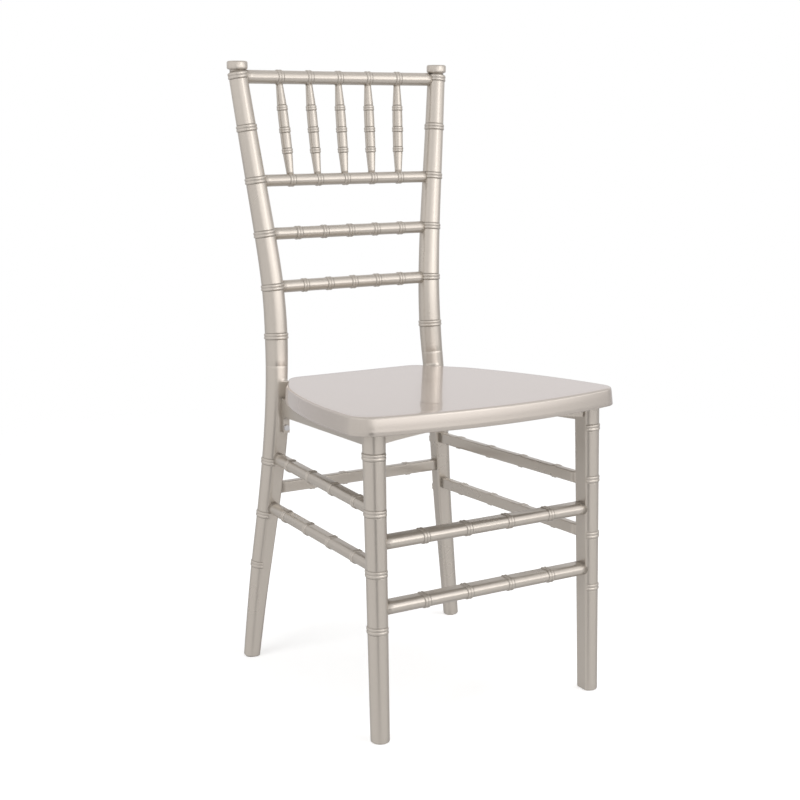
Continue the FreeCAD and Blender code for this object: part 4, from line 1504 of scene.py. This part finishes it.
@dataclass(frozen=True)
class Patch:
    """A part of the surround, from floor to ceiling, that is lighter or darker than the rest.

    Its azimuth is in degrees, with 0 in front of the chair. Its edge and its middle are cosines of the
    angle from that azimuth, between which its level rises from nought.
    """

    azimuth: float
    edge: float
    middle: float
    level: float

    def light(self, tree: Tree, parts: Node, radius: float) -> Socket:
        """The patch's light at each place of the wall.

        Args:
            tree: The material's nodes.
            parts: The node that gives the place's X and Y.
            radius: The wall's radius.

        Returns:
            The output with the light.
        """
        turn = math.radians(self.azimuth)
        across = math_node(tree, "MULTIPLY", parts.outputs["X"], math.sin(turn) / radius)
        ahead = math_node(tree, "MULTIPLY", parts.outputs["Y"], -math.cos(turn) / radius)
        return ramp(tree, math_node(tree, "ADD", across, ahead), self.edge, self.middle, 0.0, self.level)


@dataclass(frozen=True)
class Surround:
    """A round wall, floor and ceiling that only reflections see, bright where the light comes from.

    Each pair of levels goes with the lower and the upper end of the wall's fade.
    """

    radius: float = 3.0
    low: float = -2.0
    high: float = 3.0
    steps: int = 48
    tint: Colour = (1.0, 0.98, 0.98)
    bright: Patch = Patch(18.0, 0.35, 0.95, 1.0)
    side: Patch = Patch(-90.0, 0.35, 0.9, 0.35)
    back: Patch = Patch(148.5, 0.3, 0.9, 0.07)
    dark: Patch = Patch(-31.5, 0.978, 0.995, -0.75)
    dark_start: tuple[float, float] = (-0.95, -0.55)
    dark_end: tuple[float, float] = (0.05, 0.65)
    fade: tuple[float, float] = (0.35, 0.8)
    even_levels: tuple[float, float] = (0.55, 0.74)
    bright_levels: tuple[float, float] = (0.37, 2.1)
    top_fade: tuple[float, float] = (0.85, 1.35)
    top_level: float = 0.3
    least: float = 0.05

    def build(self) -> None:
        """Make the wall with its floor and ceiling."""
        verts = [(self.radius * math.cos(turn), self.radius * math.sin(turn), height)
                 for height in (self.low, self.high) for turn in full_turn(self.steps)]
        faces = [(step, (step + 1) % self.steps, (step + 1) % self.steps + self.steps, step + self.steps)
                 for step in range(self.steps)]
        faces += [tuple(range(self.steps)), tuple(range(2 * self.steps - 1, self.steps - 1, -1))]
        mesh = bpy.data.meshes.new("surround")
        mesh.from_pydata(verts, [], faces)
        mesh.materials.append(self.material())
        wall = add_object("surround", mesh)
        wall.visible_camera = False
        wall.visible_diffuse = False
        wall.visible_shadow = False

    def material(self) -> bpy.types.Material:
        """An even shade with a soft bright side.

        Returns:
            The material.
        """
        material, tree, shader = new_material(
            "surround", Base_Color=(0.0, 0.0, 0.0, 1.0), Specular_IOR_Level=0.0,
            Emission_Color=(*self.tint, 1.0))
        parts = tree.nodes.new("ShaderNodeSeparateXYZ")
        tree.links.new(tree.nodes.new("ShaderNodeTexCoord").outputs["Object"], parts.inputs[0])
        height = parts.outputs["Z"]
        bright, side, back, dark = (patch.light(tree, parts, self.radius)
                                    for patch in (self.bright, self.side, self.back, self.dark))
        above = ramp(tree, height, *self.dark_start, 0.0, 1.0)
        below = ramp(tree, height, *self.dark_end, 1.0, 0.0)
        dark = math_node(tree, "MULTIPLY", dark, math_node(tree, "MULTIPLY", above, below))
        dimmer = ramp(tree, height, *self.top_fade, 1.0, self.top_level)
        light = math_node(tree, "MULTIPLY", ramp(tree, height, *self.fade, *self.bright_levels), dimmer)
        strength = ramp(tree, height, *self.fade, *self.even_levels)
        for part in (side, back, dark, math_node(tree, "MULTIPLY", bright, light)):
            strength = math_node(tree, "ADD", strength, part)
        strength = math_node(tree, "MAXIMUM", strength, self.least)
        tree.links.new(strength, shader.inputs["Emission Strength"])
        return material


@dataclass(frozen=True)
class Studio:
    """A white sweep, soft lamps, a wall for the reflections and an even sky."""

    sky: float = 0.4
    floor_colour: float = 0.85
    floor_lift: float = 0.56
    floor_near: float = 0.9
    floor_far: float = 2.2
    lamps: tuple[Lamp, ...] = (
        Lamp("left lamp", (-2.4, -0.4, 1.7), (1.6, 1.8), 22.0),
        Lamp("right lamp", (0.9, -2.4, 1.7), (1.2, 1.6), 7.0, mirrored=True),
        Lamp("top lamp", (0.9, -0.6, 2.6), (1.6, 1.2), 22.0),
    )

    def build(self) -> None:
        """Make the floor, the sky, the lamps and the wall."""
        self.build_floor()
        self.build_sky()
        for lamp in self.lamps:
            lamp.build()
        Surround().build()

    def build_floor(self) -> None:
        """Make a white floor that keeps the chair's shadow and fades into the background."""
        half = self.floor_far
        mesh = bpy.data.meshes.new("studio floor")
        mesh.from_pydata([(-half, -half, 0), (half, -half, 0), (half, half, 0), (-half, half, 0)], [],
                         [(0, 1, 2, 3)])
        mesh.materials.append(self.floor_material())
        floor = add_object("studio_floor", mesh)
        floor.visible_glossy = False

    def floor_material(self) -> bpy.types.Material:
        """White, a little lifted for the camera, and clear far from the chair.

        Returns:
            The material.
        """
        material, tree, shader = new_material(
            "white sweep", Base_Color=(self.floor_colour, self.floor_colour, self.floor_colour, 1.0),
            Roughness=1.0, Specular_IOR_Level=0.0, Emission_Color=(1.0, 1.0, 1.0, 1.0))
        nodes, links = tree.nodes, tree.links
        seen = nodes.new("ShaderNodeLightPath").outputs["Is Camera Ray"]
        links.new(math_node(tree, "MULTIPLY", seen, self.floor_lift), shader.inputs["Emission Strength"])
        away = nodes.new("ShaderNodeVectorMath")
        away.operation = "LENGTH"
        links.new(nodes.new("ShaderNodeTexCoord").outputs["Object"], away.inputs[0])
        fade = ramp(tree, away.outputs["Value"], self.floor_near, self.floor_far, 0.0, 1.0)
        blend = nodes.new("ShaderNodeMixShader")
        clear = nodes.new("ShaderNodeBsdfTransparent")
        for index, output in enumerate((fade, shader.outputs[0], clear.outputs[0])):
            links.new(output, blend.inputs[index])
        links.new(blend.outputs[0], nodes["Material Output"].inputs["Surface"])
        return material

    def build_sky(self) -> None:
        """Make an even grey sky that the camera, reflections and clear things see as white."""
        world = bpy.data.worlds.new("studio sky")
        world.use_nodes = True
        bpy.context.scene.world = world
        tree = world.node_tree
        back = tree.nodes["Background"].inputs
        back["Color"].default_value = (1.0, 1.0, 1.0, 1.0)
        path = tree.nodes.new("ShaderNodeLightPath").outputs
        seen = path["Is Camera Ray"]
        for name in ("Is Glossy Ray", "Is Transmission Ray"):
            seen = math_node(tree, "MAXIMUM", seen, path[name])
        tree.links.new(ramp(tree, seen, 0.0, 1.0, self.sky, 1.0), back["Strength"])


def main() -> None:
    """Build the chair's looks round its frame."""
    logging.basicConfig(level=logging.INFO, format="%(name)s: %(message)s")
    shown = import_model()["nodes"]
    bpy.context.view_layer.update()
    bpy.context.scene.view_settings.view_transform = "Standard"
    posts = RearPosts()
    legs = FrontLegs()
    seat = SeatTray()
    posts.build()
    legs.build(seat)
    rails = [
        BackRail("top_rail", height=891.5, radius=10.1, bow=10.0, pitch=52.3, posts=posts),
        BackRail("spindle_rail", height=738.4, radius=9.0, bow=6.0, pitch=48.0, posts=posts),
        BackRail("middle_back_rail", height=659.0, radius=9.25, bow=2.0, pitch=45.7, posts=posts),
        BackRail("lower_back_rail", height=579.2, radius=9.35, bow=2.0, pitch=43.0, posts=posts),
    ]
    for rail in rails:
        rail.build()
    Spindles(top=rails[0], low=rails[1]).build()
    Stretchers(posts, legs).build()
    seat.build()
    PostCaps(posts).build()
    for kept in (
        KeptNodes(Slot.FRAME, ("front_apron", "rear_apron", "right_apron", "left_apron"), edge_width=0.7),
        KeptNodes(Slot.NYLON, ("right_rear_glide", "left_rear_glide", "right_front_glide",
                               "left_front_glide")),
        KeptNodes(Slot.STEEL, ("seat_screws", "joint_screws"), edge_width=0.5),
        KeptNodes(Slot.BRASS, ("threaded_inserts",)),
    ):
        kept.dress(shown)
    Camera().build()
    Studio().build()


if __name__ == "__main__":
    main()
